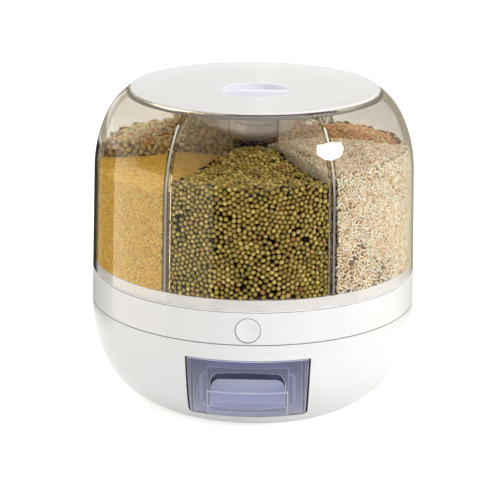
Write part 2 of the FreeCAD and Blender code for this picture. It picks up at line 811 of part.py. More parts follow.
def pivot_screw():
    """Screw through the washer into the spigot."""
    seat = hub_top_z + run_gap + washer_t
    return screw(pivot_screw_r, hub_top_z - pivot_bite, seat, pivot_head_r, seat + pivot_head_h, 0, 0,
                 pivot_screw_r)


# The lid

def lid_shell():
    """Dished disc with its plug, bead, middle seat for the grip and boss for the bowl."""
    edge = lid_edge_h / 2
    seat_r = pit_r + pit_wall + run_gap
    boss_out = bowl_r - bowl_wall - seat_gap
    inner_z = middle_z - lid_t
    return spin([
        (grip_r + seat_gap, middle_z), (dish_r, dish_z),
        ("via", (dish_r + lid_r - lid_edge_in) / 2, lid_z - dish_drop * 0.6), (lid_r - lid_edge_in, lid_z),
        (lid_r - edge, lid_z), ("via", lid_r - edge * 0.3, lid_z - edge * 0.3),
        (lid_r, lid_z - edge), (lid_r, lid_low_z), (plug_r, lid_low_z), (plug_r, plug_low_z + plug_bead_h),
        (plug_r + plug_bead_out, plug_low_z + plug_bead_h), (plug_r + plug_bead_out, plug_low_z),
        (plug_r - plug_t, plug_low_z), (plug_r - plug_t, dish_z - lid_t + 0.5), (dish_r, dish_z - lid_t),
        (boss_out, inner_z), (boss_out, inner_z - boss_h), (boss_out - boss_t, inner_z - boss_h),
        (boss_out - boss_t, inner_z - 0.6), (seat_r, inner_z - 0.6), (seat_r, middle_z - grip_flange_t),
        (grip_r + seat_gap, middle_z - grip_flange_t)])


def lid_seal():
    """Silicone ring on the plug: two soft lips in the neck's bore, and a flange the lid rests on."""
    low = plug_low_z + plug_bead_h + seat_gap
    out = neck_bore_r - seal_gap
    root = plug_r + seat_gap
    dip = (out - root) / 2
    lip = seal_h / 4
    flange_z = neck_z + seal_gap / 2
    return spin([(root, low), (out, low), (out, low + lip), (out - dip, low + 1.5 * lip),
                 (out - dip, low + 2.5 * lip), (out, low + 3 * lip), (out, flange_z),
                 (neck_bore_r + seal_flange_out, flange_z), (neck_bore_r + seal_flange_out, lid_low_z),
                 (root, lid_low_z)])


def grip_insert():
    """Round pit with a flange on the lid and a hollow bar across it."""
    low = middle_z - pit_deep - pit_wall
    pit = spin([(0, low), (pit_r + pit_wall - 3, low), ("via", pit_r + pit_wall - 0.9, low + 0.9),
                (pit_r + pit_wall, low + 3), (pit_r + pit_wall, middle_z - grip_flange_t),
                (grip_r, middle_z - grip_flange_t), (grip_r, middle_z - 0.3), (grip_r - 0.3, middle_z),
                (pit_r + 0.6, middle_z), (pit_r, middle_z - 0.6), (pit_r, low + pit_wall + 3),
                ("via", pit_r - 0.9, low + pit_wall + 0.9), (pit_r - 3, low + pit_wall), (0, low + pit_wall)])
    bar = block(-pit_r - 1, pit_r + 1, -bar_t / 2, bar_t / 2, low + pit_wall / 2, middle_z)
    long_edges = [e for e in bar.Edges if e.Length > 2 * pit_r and e.BoundBox.ZMin > middle_z - 1e-3]
    bar = bar.makeFillet(bar_t / 4, long_edges)
    inside = rod(pit_r + pit_wall / 2, low, middle_z + 1)
    slot = block(-pit_r + 4, pit_r - 4, -bar_slot_t / 2, bar_slot_t / 2, low - 1, middle_z - pit_wall)
    return joined([pit, bar.common(inside)]).cut(slot)


def desiccant_bowl():
    """Clear bowl on the lid's boss, with a collar and entry slots for the cup in its floor."""
    top = middle_z - lid_t - seat_gap
    low, c, w = bowl_low_z, bowl_corner_r, bowl_wall
    hole = cup_r + run_gap
    k = 1 - math.sqrt(0.5)
    solid = spin([(hole, low), (bowl_r - c, low), ("via", bowl_r - c * k, low + c * k), (bowl_r, low + c),
                  (bowl_r, top), (bowl_r - w, top), (bowl_r - w, low + c),
                  ("via", bowl_r - w - (c - w) * k, low + w + (c - w) * k), (bowl_r - c, low + w),
                  (hole + collar_t, low + w), (hole + collar_t, collar_top_z), (hole, collar_top_z)])
    groove_r = cup_r + lug_out + run_gap
    groove = tube(hole - 1, groove_r, lug_z - run_gap, lug_z + lug_h + run_gap)
    entry = lug_shape(groove_r, low - 1, lug_z + lug_h / 2, lug_arc + 4)
    entries = [turned(entry, cup_turn + 180 * k2) for k2 in range(2)]
    return solid.cut([groove, *entries])


def lug_shape(radius, z_low, z_high, arc):
    """Sector about the upright axis, centred on the front, out to a radius."""
    face_angle = math.radians(arc / 2)
    tip = radius / math.cos(face_angle) + 1
    a, b = tip * math.sin(face_angle), -tip * math.cos(face_angle)
    corners = [V(0, 0, z_low), V(-a, b, z_low), V(a, b, z_low), V(0, 0, z_low)]
    sector = Part.Face(Part.makePolygon(corners)).extrude(V(0, 0, z_high - z_low))
    return sector.common(rod(radius, z_low, z_high))


def desiccant_cup():
    """Clear cup with a rounded floor and two lugs that turn under the bowl's collar."""
    low, c, w = cup_low_z, cup_corner_r, cup_wall
    k = 1 - math.sqrt(0.5)
    cup = spin([(0, low), (cup_r - c, low), ("via", cup_r - c * k, low + c * k), (cup_r, low + c),
                (cup_r, cup_top_z), (cup_r - w, cup_top_z), (cup_r - w, low + c),
                ("via", cup_r - w - (c - w) * k, low + w + (c - w) * k), (cup_r - c, low + w), (0, low + w)])
    lug = lug_shape(cup_r + lug_out, lug_z, lug_z + lug_h, lug_arc).cut(rod(cup_r - w / 2, lug_z - 1, far))
    return joined([cup, lug, turned(lug, 180)])


def desiccant_pack():
    """Drying capsule that stands on the cup's floor."""
    low = cup_low_z + cup_wall
    pack = rod(pack_r, low, low + pack_h)
    return pack.makeFillet(1.5, [e for e in pack.Edges if e.Length > 6 * pack_r])


# The tray

def between_skins(inset_out, inset_in, z_low, z_high):
    """Ring that follows the base's side, between two insets."""
    return spin([*base_path(z_low, z_high, inset_out), *base_path(z_high, z_low, inset_in)])


def pocket_space():
    """Finger pocket: a ramp down from the arch, an upright back, and a sloped floor behind the pull."""
    def depth_face(points, half):
        face = Part.Face(Part.makePolygon([V(-half, y, z) for y, z in [*points, points[0]]]))
        return face.extrude(V(2 * half, 0, 0))

    ramp_y = -base_radius(pocket_top_z) - pull_proud
    mouth = depth_face([(-far / 2, pocket_top_z), (ramp_y, pocket_top_z), (pocket_back_y, pocket_ramp_z),
                        (pocket_back_y, pull_top_z), (-far / 2, pull_top_z)], pocket_half)
    arch = [e for e in mouth.Edges
            if abs(e.BoundBox.ZMin - pocket_top_z) < 1e-3 and abs(e.BoundBox.XMax - e.BoundBox.XMin) < 1e-3]
    slope = [e for e in mouth.Edges
             if e.BoundBox.ZMax > pocket_top_z - 1e-3 and e.BoundBox.ZMin < pocket_ramp_z + 1e-3
             and abs(e.BoundBox.XMax - e.BoundBox.XMin) < 1e-3]
    mouth = mouth.makeFillet(pocket_corner_r, arch + slope)
    front_floor = pocket_floor_z - pocket_floor_drop
    front_y = -base_radius(front_floor) - pull_proud
    well = depth_face([(pocket_back_y, pull_top_z + 0.5), (pocket_back_y, pocket_floor_z),
                       (front_y, front_floor), (-far / 2, front_floor), (-far / 2, pull_top_z + 0.5)],
                      pocket_half)
    inner = spin([(0, tray_low_z), *base_path(tray_low_z, tray_top_z, pull_wall - pull_proud),
                  (0, tray_top_z)])
    return mouth.fuse(well.common(inner)).removeSplitter()


def pocket_frame():
    """Low rib on the inside of the tray's front, round the finger pocket."""
    def ring_part(inset):
        side = frame_half - inset
        solid = block(-side, side, -far / 2, 0, frame_low_z + inset, frame_top_z - inset)
        along = [e for e in solid.Edges if e.Length > far * 0.49]
        return solid.makeFillet(frame_corner_r - inset, along)

    skin = between_skins(tray_front_t / 2, tray_front_t + frame_h, frame_low_z - 1, frame_top_z + 1)
    return skin.common(ring_part(0).cut(ring_part(frame_t)))


def measuring_tray():
    """Smoked clear tray: a bin behind a front that follows the base, with its finger pocket and pull."""
    half_top = window_top_half - tray_side_gap
    half_low = window_low_half - tray_side_gap
    panel = between_skins(0, tray_front_t, tray_low_z, tray_top_z).common(
        wedge_prism(half_top, half_low, tray_top_z, tray_low_z, -far / 2, 0, window_corner_r - tray_side_gap))
    pull = between_skins(-pull_proud, tray_front_t, pull_low_z, pull_top_z).common(
        block(-pull_half, pull_half, -far / 2, 0, pull_low_z, pull_top_z))
    inside = spin([(0, tray_low_z), *base_path(tray_low_z, tray_top_z, tray_front_t / 2), (0, tray_top_z)])
    bin_top = tray_top_z - 1.0
    outer = block(-tray_half_w, tray_half_w, -far / 2, tray_back_y, tray_low_z, bin_top)
    hollow = block(-tray_half_w + tray_wall, tray_half_w - tray_wall, -far / 2, tray_back_y - tray_wall,
                   tray_floor_z, far)
    front_room = between_skins(tray_front_t / 2, tray_front_t, tray_low_z, bin_top)
    walls = outer.common(inside).cut(hollow)
    liner = block(-pocket_half - tray_wall, pocket_half + tray_wall, -far / 2, pocket_back_y + tray_wall,
                  pocket_floor_z - pocket_floor_drop - tray_wall, pocket_top_z + tray_wall).common(inside)
    upright = [e for e in liner.Edges
               if e.BoundBox.YMin > pocket_back_y and abs(e.BoundBox.XMax - e.BoundBox.XMin) < 1e-3
               and e.BoundBox.ZMax - e.BoundBox.ZMin > pull_proud]
    liner = liner.makeFillet(tray_wall * 1.5, upright)
    front_wall = front_room.common(outer)
    return joined([panel, pull, walls, front_wall, liner, pocket_frame()]).cut(pocket_space())


os.makedirs("parts", exist_ok=True)
makers = [base_shell, upper_base, rubber_feet, base_screws, tray_guide, gate_guide, guide_screws,
          detent_spring, pivot_washer, pivot_screw, button_cap, push_yoke, gate_plate, return_spring,
          bearing_balls, ball_cage, turntable, barrel, hub_column, lid_shell, lid_seal, grip_insert,
          desiccant_bowl, desiccant_cup, desiccant_pack, measuring_tray]
for maker in makers:
    save(maker.__name__, maker())
for number in range(cell_count):
    save(f"divider_{number + 1}", divider(number))
print(f"neck {neck_z:.2f}, lid edge {lid_z:.2f}, lid middle {middle_z:.2f}, ball {ball_z:.2f}")
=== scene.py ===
# %% [markdown]
# # A rotating food dispenser with six cells
#
# The dispenser is a white two-part base, a clear drum with six cells of grain, and a white lid. The solid
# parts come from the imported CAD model, so their shapes, places and joints are already right. This script
# gives them their plastics and metals, fills the six cells with grain, and sets up a small studio.
# Everything is in metres. The front looks along -Y, and +Z is up.

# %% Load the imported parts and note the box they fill
import math

import bpy
import numpy as np
from mathutils import Matrix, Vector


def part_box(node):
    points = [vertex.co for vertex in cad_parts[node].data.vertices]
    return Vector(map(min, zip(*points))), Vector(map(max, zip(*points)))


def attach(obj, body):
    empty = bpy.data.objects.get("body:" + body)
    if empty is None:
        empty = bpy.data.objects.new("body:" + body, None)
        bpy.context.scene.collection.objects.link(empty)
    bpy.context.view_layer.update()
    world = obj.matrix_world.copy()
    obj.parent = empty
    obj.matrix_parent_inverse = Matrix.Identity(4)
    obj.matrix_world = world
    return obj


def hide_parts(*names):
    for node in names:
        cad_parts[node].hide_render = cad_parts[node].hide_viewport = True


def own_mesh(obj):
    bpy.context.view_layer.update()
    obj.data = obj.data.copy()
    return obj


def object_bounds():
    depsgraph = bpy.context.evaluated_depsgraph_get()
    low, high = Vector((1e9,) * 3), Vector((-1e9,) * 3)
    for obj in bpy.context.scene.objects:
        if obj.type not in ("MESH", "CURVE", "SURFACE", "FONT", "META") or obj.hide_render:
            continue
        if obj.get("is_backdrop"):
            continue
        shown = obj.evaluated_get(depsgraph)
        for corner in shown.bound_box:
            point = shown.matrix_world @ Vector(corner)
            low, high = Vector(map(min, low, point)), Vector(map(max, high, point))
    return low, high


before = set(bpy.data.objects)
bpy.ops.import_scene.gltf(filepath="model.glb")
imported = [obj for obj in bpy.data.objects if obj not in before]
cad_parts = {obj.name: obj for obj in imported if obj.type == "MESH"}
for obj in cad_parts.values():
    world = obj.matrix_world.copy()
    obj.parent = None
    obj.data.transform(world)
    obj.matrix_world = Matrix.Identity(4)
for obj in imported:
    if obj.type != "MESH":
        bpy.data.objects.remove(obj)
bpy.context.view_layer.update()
chance = np.random.default_rng(20)

# %% [markdown]
# ## Camera
#
# The photograph looks down on the dispenser by about 17 degrees with a long lens, from straight in front. A
# camera is a position and three directions. I worked them out from the places of the lid, the drum's foot
# and the window in the picture, and turned the camera round the object by 1.5 degrees at the end.

# %% Camera from its measured angles
pitch, roll, swing, turn = (math.radians(a) for a in (16.72, 0.63, -0.10, 1.5))
stand = (0, -1.7457, 0.6561)
sensor_mm, lens_mm = 36, 139.86


def shown(name, data):
    """A new object in the scene, at the origin."""
    thing = bpy.data.objects.new(name, data)
    bpy.context.collection.objects.link(thing)
    return thing


def turned_about_z(v, angle):
    """Turn about +Z: x' = x cos a - y sin a, y' = x sin a + y cos a."""
    x, y, z = v
    c, s = math.cos(angle), math.sin(angle)
    return np.array([x * c - y * s, x * s + y * c, z])


def aimed(thing, across, up, back, place):
    """Put a camera or a lamp at a place, with its own three directions as the columns of its matrix."""
    thing.matrix_world = Matrix([[across[i], up[i], back[i], place[i]] for i in range(3)] + [[0, 0, 0, 1]])


looking = np.array([math.sin(swing) * math.cos(pitch), math.cos(swing) * math.cos(pitch), -math.sin(pitch)])
level = np.array([math.cos(swing), -math.sin(swing), 0.0])
upward = np.cross(level, looking)
right = math.cos(roll) * level + math.sin(roll) * upward
above = -math.sin(roll) * level + math.cos(roll) * upward
axes = [turned_about_z(v, turn) for v in (right, above, -looking)]
place = turned_about_z(stand, turn)

camera = shown("camera", bpy.data.cameras.new("camera"))
camera.data.sensor_width = sensor_mm
camera.data.lens = lens_mm
aimed(camera, *axes, place)
bpy.context.scene.camera = camera
print("camera at", [round(float(v), 3) for v in place])

# %% [markdown]
# ## Helpers for finishes
#
# Every finish is a material made of nodes. The Principled shader takes a colour, a roughness and a few
# constants. Noise on Object coordinates moves with the part, and it gives a moulded surface the faint
# unevenness that a real one has. Colours are written as a picture editor shows them, and changed to the
# linear values that the renderer wants.

# %% Colours as they are seen, and a new Principled material
def seen(red, green, blue):
    """Linear colour from 0-255 values: c <= 0.04045 gives c/12.92, else ((c + 0.055)/1.055)^2.4."""
    c = np.array([red, green, blue]) / 255
    linear = np.where(c <= 0.04045, c / 12.92, ((c + 0.055) / 1.055) ** 2.4)
    return (*[float(v) for v in linear], 1.0)


def principled(material):
    """The Principled shader of the material."""
    return material.node_tree.nodes["Principled BSDF"]


def new_finish(name, colour, roughness, **constants):
    """A material with one Principled shader. Constants go straight on to its sockets."""
    material = bpy.data.materials.new(name)
    material.use_nodes = True
    sockets = principled(material).inputs
    sockets["Base Color"].default_value = colour
    sockets["Roughness"].default_value = roughness
    for socket, value in constants.items():
        sockets[socket.replace("_", " ")].default_value = value
    return material


def add(material, kind, **settings):
    """A new node in the material, with its settings."""
    node = material.node_tree.nodes.new(kind)
    for key, value in settings.items():
        setattr(node, key, value)
    return node


def join(material, source, target):
    """A wire from an output socket to an input socket."""
    material.node_tree.links.new(source, target)


def feed(material, value, socket):
    """A wire, a plain number or a colour into the socket."""
    if isinstance(value, bpy.types.NodeSocket):
        join(material, value, socket)
    else:
        socket.default_value = value


def to_surface(material, shader):
    """The shader's socket becomes the surface of the material."""
    join(material, shader, material.node_tree.nodes["Material Output"].inputs["Surface"])


print("white as seen 236:", round(seen(236, 236, 236)[0], 3))

# %% Noise, ramps and sums that the finishes share
def noise(material, scale, detail=2.0):
    """Noise on Object coordinates. Scale is the number of waves in a metre."""
    where = add(material, "ShaderNodeTexCoord")
    node = add(material, "ShaderNodeTexNoise")
    node.inputs["Scale"].default_value = scale
    node.inputs["Detail"].default_value = detail
    join(material, where.outputs["Object"], node.inputs["Vector"])
    return node.outputs["Fac"]


def ramp(material, value, low, high, first=0.0, last=1.0, **settings):
    """Runs from first to last as the value runs from low to high, and stays there beyond them."""
    node = add(material, "ShaderNodeMapRange", **settings)
    for name, number in (("From Min", low), ("From Max", high), ("To Min", first), ("To Max", last)):
        node.inputs[name].default_value = number
    join(material, value, node.inputs["Value"])
    return node.outputs["Result"]


def between(material, factor, low, high):
    """A number that runs softly from low to high as the factor runs from 0.2 to 0.8."""
    return ramp(material, factor, 0.2, 0.8, low, high, interpolation_type="SMOOTHSTEP")


def shade(material, factor, dark, light, **settings):
    """A colour that runs from dark to light with the factor."""
    node = add(material, "ShaderNodeMix", data_type="RGBA", **settings)
    for socket, colour in zip([s for s in node.inputs if s.type == "RGBA"], (dark, light)):
        feed(material, colour, socket)
    join(material, factor, node.inputs["Factor"])
    return [s for s in node.outputs if s.type == "RGBA"][0]


def reckon(material, operation, *values):
    """A Math node. COMPARE is 1 where the first value lies within the third of the second, else 0."""
    node = add(material, "ShaderNodeMath", operation=operation)
    for socket, value in zip(node.inputs, values):
        feed(material, value, socket)
    return node.outputs[0]


print("noise, ramps and sums ready")

# %% Places, bumps and moulded plastic
def place_on(material):
    """X, Y and Z of the point on the piece, in metres."""
    split = add(material, "ShaderNodeSeparateXYZ")
    join(material, add(material, "ShaderNodeTexCoord").outputs["Object"], split.inputs["Vector"])
    return [split.outputs[axis] for axis in "XYZ"]


def texture_bump(material, factor, depth, strength=1.0):
    """Bump of a given depth in metres on the Principled shader's normal."""
    node = add(material, "ShaderNodeBump")
    node.inputs["Distance"].default_value = depth
    node.inputs["Strength"].default_value = strength
    join(material, factor, node.inputs["Height"])
    join(material, node.outputs["Normal"], principled(material).inputs["Normal"])


def moulded(name, dark, light, rough_low, rough_high, grain, depth, painted_light_heights=None, **constants):
    """Moulded plastic with a fine skin. Its colour drifts slowly, or gets lighter between two heights."""
    material = new_finish(name, light, rough_low, **constants)
    sockets = principled(material).inputs
    # painted light: the colour gets lighter between two heights
    if painted_light_heights:
        share = ramp(material, place_on(material)[2], *painted_light_heights)
    else:
        share = between(material, noise(material, 4, 0), 0, 1)
    join(material, shade(material, share, dark, light), sockets["Base Color"])
    wear = noise(material, 25, 0)
    join(material, between(material, wear, rough_low, rough_high), sockets["Roughness"])
    texture_bump(material, noise(material, grain, 2), depth)
    return material


print("finish helpers ready")

# %% [markdown]
# ## White plastic
#
# The base, the button and the lid are glossy white ABS. Under soft light it reads as a very light grey with
# broad soft highlights, so its colour stays a little below pure white. Inner mouldings are plain grey with a
# duller finish, and their grey is partly painted shade for the room inside the base. The grip in the lid is
# a slightly cooler white.

# %% White finishes
white_gloss = moulded("white_gloss", seen(237, 235, 235), seen(238, 237, 237), 0.28, 0.28, 260, 1e-6,
                      IOR=1.5)
white_grip = moulded("white_grip", seen(240, 240, 246), seen(241, 241, 247), 0.21, 0.21, 260, 1e-6, IOR=1.5)
# inner mouldings: grey partly as painted shade inside the base
grey_satin = moulded("grey_satin", seen(120, 121, 132), seen(128, 129, 140), 0.38, 0.50, 900, 4e-6, IOR=1.5)
drum_floor = moulded("drum_floor", seen(248, 249, 254), seen(250, 251, 255), 0.30, 0.36, 400, 1e-6, IOR=1.5)
print("white finishes", white_gloss.name, white_grip.name, drum_floor.name, grey_satin.name)

# %% [markdown]
# The seam of the base, the ring round the button and the edge of the tray's window are gaps of less than a
# millimetre. Each is a real gap in the solids, with pale walls that throw light about. On the real object
# they are deeper than they are wide, and the shade in them makes them look dark. So the plastic of their
# walls gets painted shade, in thin bands that are found from the place on the part.

# %% Painted shade in the narrow gaps of the base
half_line, half_gap, front_y = 0.0003, 0.0004, -0.1
seam_z, button_z, button_ring_r = 0.0901, 0.1034, 0.01115
sill_z, sill_half, side_x, side_flare = 0.0138, 0.0500, 0.0525, 0.0373
side_middle_z, side_half = 0.0460, 0.0290


def paint_gap_shade(material, share):
    """Base Color times the share in the seam, in the ring round the button and along the window's edge.

    The ring is where sqrt(x^2 + (z - button_z)^2) = button_ring_r, and the window's side is where |x| -
    side_flare z = side_x. The darkened bands are painted shade.
    """
    def work(operation, *values):
        return reckon(material, operation, *values)

    x, y, z = place_on(material)
    squares = work("ADD", work("POWER", x, 2), work("POWER", work("SUBTRACT", z, button_z), 2))
    ring = work("COMPARE", work("SQRT", squares), button_ring_r, half_line)
    wide = work("ABSOLUTE", x)
    side = work("COMPARE", work("SUBTRACT", wide, work("MULTIPLY", z, side_flare)), side_x, half_line)
    side = work("MULTIPLY", side, work("COMPARE", z, side_middle_z, side_half))
    sill = work("COMPARE", z, sill_z, half_gap)
    sill = work("MULTIPLY", sill, work("LESS_THAN", wide, sill_half))
    window = work("MAXIMUM", side, sill)
    gap = work("MULTIPLY", work("LESS_THAN", y, front_y), work("MAXIMUM", ring, window))
    gap = work("MAXIMUM", gap, work("COMPARE", z, seam_z, half_gap))
    colour = principled(material).inputs["Base Color"]
    gap_shade = (share, share, share * 1.05, 1)
    whole = shade(material, gap, colour.links[0].from_socket, gap_shade, blend_type="MULTIPLY")
    join(material, whole, colour)


# painted shade in the seam, round the button and along the window's edge
paint_gap_shade(white_gloss, 0.3)
print("dark gaps on", white_gloss.name)

# %% [markdown]
# ## Clear and smoked plastic
#
# The drum, its dividers and the two desiccant cups are clear SAN plastic, about 2 mm thick. A Principled
# shader with full transmission bends and reflects light as the real wall does. Lamp light would be lost in
# such a wall, because a renderer can't aim at a lamp through a bent ray. So the shader is changed for a
# plain tinted Transparent one where a ray only asks whether a lamp is hidden, and where it has been thrown
# back by a grain or a shiny surface. The tray is the same plastic with a smoky blue dye.

# %% A plastic that lets lamps through
def any_ray(material, *kinds):
    """1 where the ray is of one of the kinds of Light Path, else 0: the largest of their outputs."""
    path = add(material, "ShaderNodeLightPath")
    most = path.outputs[kinds[0]]
    for kind in kinds[1:]:
        most = reckon(material, "MAXIMUM", most, path.outputs[kind])
    return most


def change(material, share, first, second):
    """The first shader, changed for the second one by a share of 0 to 1. Gives the mixed shader's socket."""
    mix = add(material, "ShaderNodeMixShader")
    join(material, share, mix.inputs["Fac"])
    join(material, first, mix.inputs[1])
    join(material, second, mix.inputs[2])
    return mix.outputs["Shader"]


def see_through(name, tint, shadow_tint, clearness, roughness, ior, inner_mirror=True):
    """Bent for rays from the camera; shadow rays and reflected rays pass straight through with a tint.

    Without an inner mirror, the faces after the first throw an image back only where they are met at a
    graze: where a mirror's share by Fresnel is more than 0.25, and fully from 0.60.
    """
    material = new_finish(name, tint, roughness, Transmission_Weight=clearness, IOR=ior)
    surface = principled(material).outputs["BSDF"]
    if not inner_mirror:
        bent = add(material, "ShaderNodeBsdfRefraction")
        bent.inputs["Color"].default_value = (*[v ** 0.5 for v in tint[:3]], 1)
        bent.inputs["Roughness"].default_value = roughness
        bent.inputs["IOR"].default_value = ior
        grazing = add(material, "ShaderNodeFresnel")
        grazing.inputs["IOR"].default_value = ior
        steep = ramp(material, grazing.outputs["Fac"], 0.25, 0.60)
        quiet = change(material, steep, bent.outputs["BSDF"], surface)
        surface = change(material, any_ray(material, "Is Transmission Ray"), surface, quiet)
    straight = add(material, "ShaderNodeBsdfTransparent")
    straight.inputs["Color"].default_value = shadow_tint
    passing = any_ray(material, "Is Shadow Ray", "Is Reflection Ray")
    surface = change(material, passing, surface, straight.outputs["BSDF"])
    to_surface(material, surface)
    texture_bump(material, noise(material, 30, 1), 3e-5, 0.4)
    return material


# the drum wall's warm tint is partly painted reflection of the warm room round it
clear_wall = see_through("clear_wall", (0.81, 0.78, 0.73, 1), (1.0, 0.99, 0.98, 1), 1.0, 0.01, 1.53, False)
clear_plate = see_through("clear_plate", (0.93, 0.91, 0.89, 1), (0.98, 0.98, 0.97, 1), 0.965, 0.015, 1.5)
clear_cup = see_through("clear_cup", (0.98, 0.93, 0.92, 1), (0.99, 0.98, 0.98, 1), 0.76, 0.03, 1.5)
# frosted plate edge, painted lighter towards the top as painted light
frosted_painted_light = moulded("frosted_painted_light", seen(154, 148, 154), seen(232, 230, 234), 0.4, 0.5, 900, 3e-6, (0.212, 0.262),
                  IOR=1.5)
smoked = see_through("smoked", (0.60, 0.64, 0.84, 1), (0.68, 0.70, 0.84, 1), 0.82, 0.03, 1.5)
print("clear finishes", clear_wall.name, clear_plate.name, clear_cup.name, smoked.name)

# %% [markdown]
# The edges of a clear moulding are a little rounded and gather light, so they draw pale lines. A Bevel node
# gives the direction of a rounded surface near each edge. Where it departs from the flat one, the plastic
# gets paler and less clear, as a painted highlight. The matt back of the finger pocket gets the same
# paleness, as painted light. The dye is painted darker towards the top, as painted shade where the room
# behind the front is unlit.

# %% Painted highlights on the smoked tray's edges and pocket
pocket_painted_light = 0.72
pocket_back = ((0.0, 0.0330), (-0.1280, 0.0004), (0.0400, 0.0117))


def matt_pocket_painted_light(material):
    """The paleness where x, y and z lie within reach of the middle of the pocket's back, and 0 elsewhere."""
    # painted light on the back of the finger pocket
    inside = pocket_painted_light
    for value, (middle, reach) in zip(place_on(material), pocket_back):
        inside = reckon(material, "MULTIPLY", inside, reckon(material, "COMPARE", value, middle, reach))
    return inside


def tray_look(material, radius, high, low, light, clear, cloudy):
    """Paler by a share of 0 to 1 as n . m falls from 0.998 to 0.86.

    Here n is the surface's direction and m the rounded one. The paleness is painted highlight and painted
    light. The dye runs from low to high over 45 mm, painted darker at the top as painted shade.
    """
    rounded = add(material, "ShaderNodeBevel", samples=6)
    rounded.inputs["Radius"].default_value = radius
    flat = add(material, "ShaderNodeNewGeometry")
    product = add(material, "ShaderNodeVectorMath", operation="DOT_PRODUCT")
    join(material, rounded.outputs["Normal"], product.inputs[0])
    join(material, flat.outputs["Normal"], product.inputs[1])
    # painted highlight along the rounded edges
    edge = ramp(material, product.outputs["Value"], 0.998, 0.86)
    pale = reckon(material, "MAXIMUM", edge, matt_pocket_painted_light(material))
    # the blue dye, painted darker towards the top as painted shade
    dye_and_painted_shade = shade(material, ramp(material, place_on(material)[2], 0.025, 0.070), low, high)
    sockets = principled(material).inputs
    join(material, shade(material, pale, dye_and_painted_shade, light), sockets["Base Color"])
    join(material, ramp(material, pale, 0, 1, clear, cloudy), sockets["Transmission Weight"])


# painted highlights and painted light in pale lilac, painted shade in the dark blue at the top
tray_look(smoked, 0.0013, (0.28, 0.28, 0.46, 1), (0.66, 0.67, 0.86, 1), (0.97, 0.97, 1.0, 1), 0.76, 0.1)
print("edges of", smoked.name)

# %% [markdown]
# ## Rubber, silicone, steel and the drying capsule
#
# These sit under the base or inside it. They show from below, in a section, and as grey hints through the
# clear parts, so each gets a plain finish.

# %% Small finishes, and every CAD part gets its own
rubber = moulded("rubber", seen(70, 70, 72), seen(84, 84, 86), 0.6, 0.75, 3000, 2e-5, IOR=1.5)
silicone = moulded("silicone", seen(140, 135, 134), seen(150, 145, 144), 0.45, 0.6, 2500, 1e-5, IOR=1.43)
steel = moulded("steel", seen(168, 170, 172), seen(190, 191, 193), 0.22, 0.34, 2600, 3e-6, Metallic=1.0)
drying = moulded("drying", seen(196, 188, 180), seen(226, 220, 212), 0.5, 0.7, 700, 1e-4, IOR=1.45)

wearers = [
    (white_gloss, "base_shell upper_base button_cap lid_shell"), (white_grip, "grip_insert"),
    (drum_floor, "turntable"), (grey_satin, "ball_cage gate_plate gate_guide push_yoke tray_guide"),
    (clear_wall, "barrel hub_column"), (clear_cup, "desiccant_bowl desiccant_cup"),
    (clear_plate, "divider_1 divider_2 divider_3 divider_4 divider_5 divider_6"),
    (smoked, "measuring_tray"), (drying, "desiccant_pack"), (rubber, "rubber_feet"), (silicone, "lid_seal"),
    (steel, "base_screws guide_screws pivot_screw pivot_washer bearing_balls return_spring detent_spring"),
]
finish_of = {node: finish for finish, nodes in wearers for node in nodes.split()}
for node, finish in finish_of.items():
    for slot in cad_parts[node].material_slots:
        slot.material = finish
print("finished parts", len(finish_of), "of", len(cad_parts))

# %% [markdown]
# ## The room inside one cell
#
# The drum is split into six equal wedges. Each one is bounded by the inner wall, two divider plates with
# the rib pairs that hold them, and the round column in the middle. A wedge has its own directions: out from
# the middle, and sideways. The inner wall is nearly straight and then turns in with the shoulder's arc.

# %% Inner wall and wedge
drum_foot_z, drum_foot_r, wall_t = 0.1196, 0.150, 0.0026
draft = math.tan(math.radians(1.47))
shoulder_z = 0.2153
arc_r, arc_middle_r, arc_middle_z = 0.1148, 0.03278, 0.21236
floor_z = 0.1303
plate_half, rib_side, rib_in, column_room = 0.00115, 0.0028, 0.0042, 0.0225
half_wedge = math.radians(30)
mean_wall_r = 0.146


def wall_radius(z):
    """Inner radius R - (z - z0) tan(draft) - t, and r0 + sqrt((A - t)^2 - (z - zc)^2) above the shoulder."""
    straight = drum_foot_r - (z - drum_foot_z) * draft - wall_t
    arch = arc_middle_r + np.sqrt(np.maximum((arc_r - wall_t) ** 2 - (z - arc_middle_z) ** 2, 0))
    return np.where(z < shoulder_z, straight, np.minimum(arch, straight))


def to_drum(out, side, z, azimuth):
    """From a wedge's own directions to x, y, z, where azimuth 0 is the front and 60 the front right."""
    a = math.radians(azimuth)
    x = out * math.sin(a) + side * math.cos(a)
    y = -out * math.cos(a) + side * math.sin(a)
    return np.stack(np.broadcast_arrays(x, y, z), axis=-1)


print("inner wall at floor and shoulder", wall_radius(np.array([0.13, 0.23])).round(4))

# %% [markdown]
# ## Frosted edges of the plates
#
# A clear plate looks solid only at its edges, because they are sawn and a little frosted. The outer edge of
# each divider stands between two ribs right behind the wall, and draws a pale upright line there. It gets a
# flat band, two millimetres wide, that follows the wall from the floor up to the shoulder, painted lighter
# towards the top as painted light from above. A short darker band marks the inner edge, where the plate is
# cut away round the lid's bowl; its darker colour is painted shade.

# %% A closed mesh over rows of points
def skin_over(name, rows, material):
    """Each row of points is a ring: next rings are joined by quads, and the two ends are capped."""
    count, around = rows.shape[:2]
    k, c = np.meshgrid(np.arange(count - 1), np.arange(around), indexing="ij")
    a, b = around * k + c, around * k + (c + 1) % around
    faces = np.stack([a, b, b + around, a + around], -1).reshape(-1, 4).tolist()
    first = list(range(around))
    last = [around * (count - 1) + n for n in first]
    mesh = bpy.data.meshes.new(name)
    mesh.from_pydata(rows.reshape(-1, 3).tolist(), [], faces + [first[::-1], last])
    mesh.materials.append(material)
    return shown(name, mesh)


print("mesh helper ready")

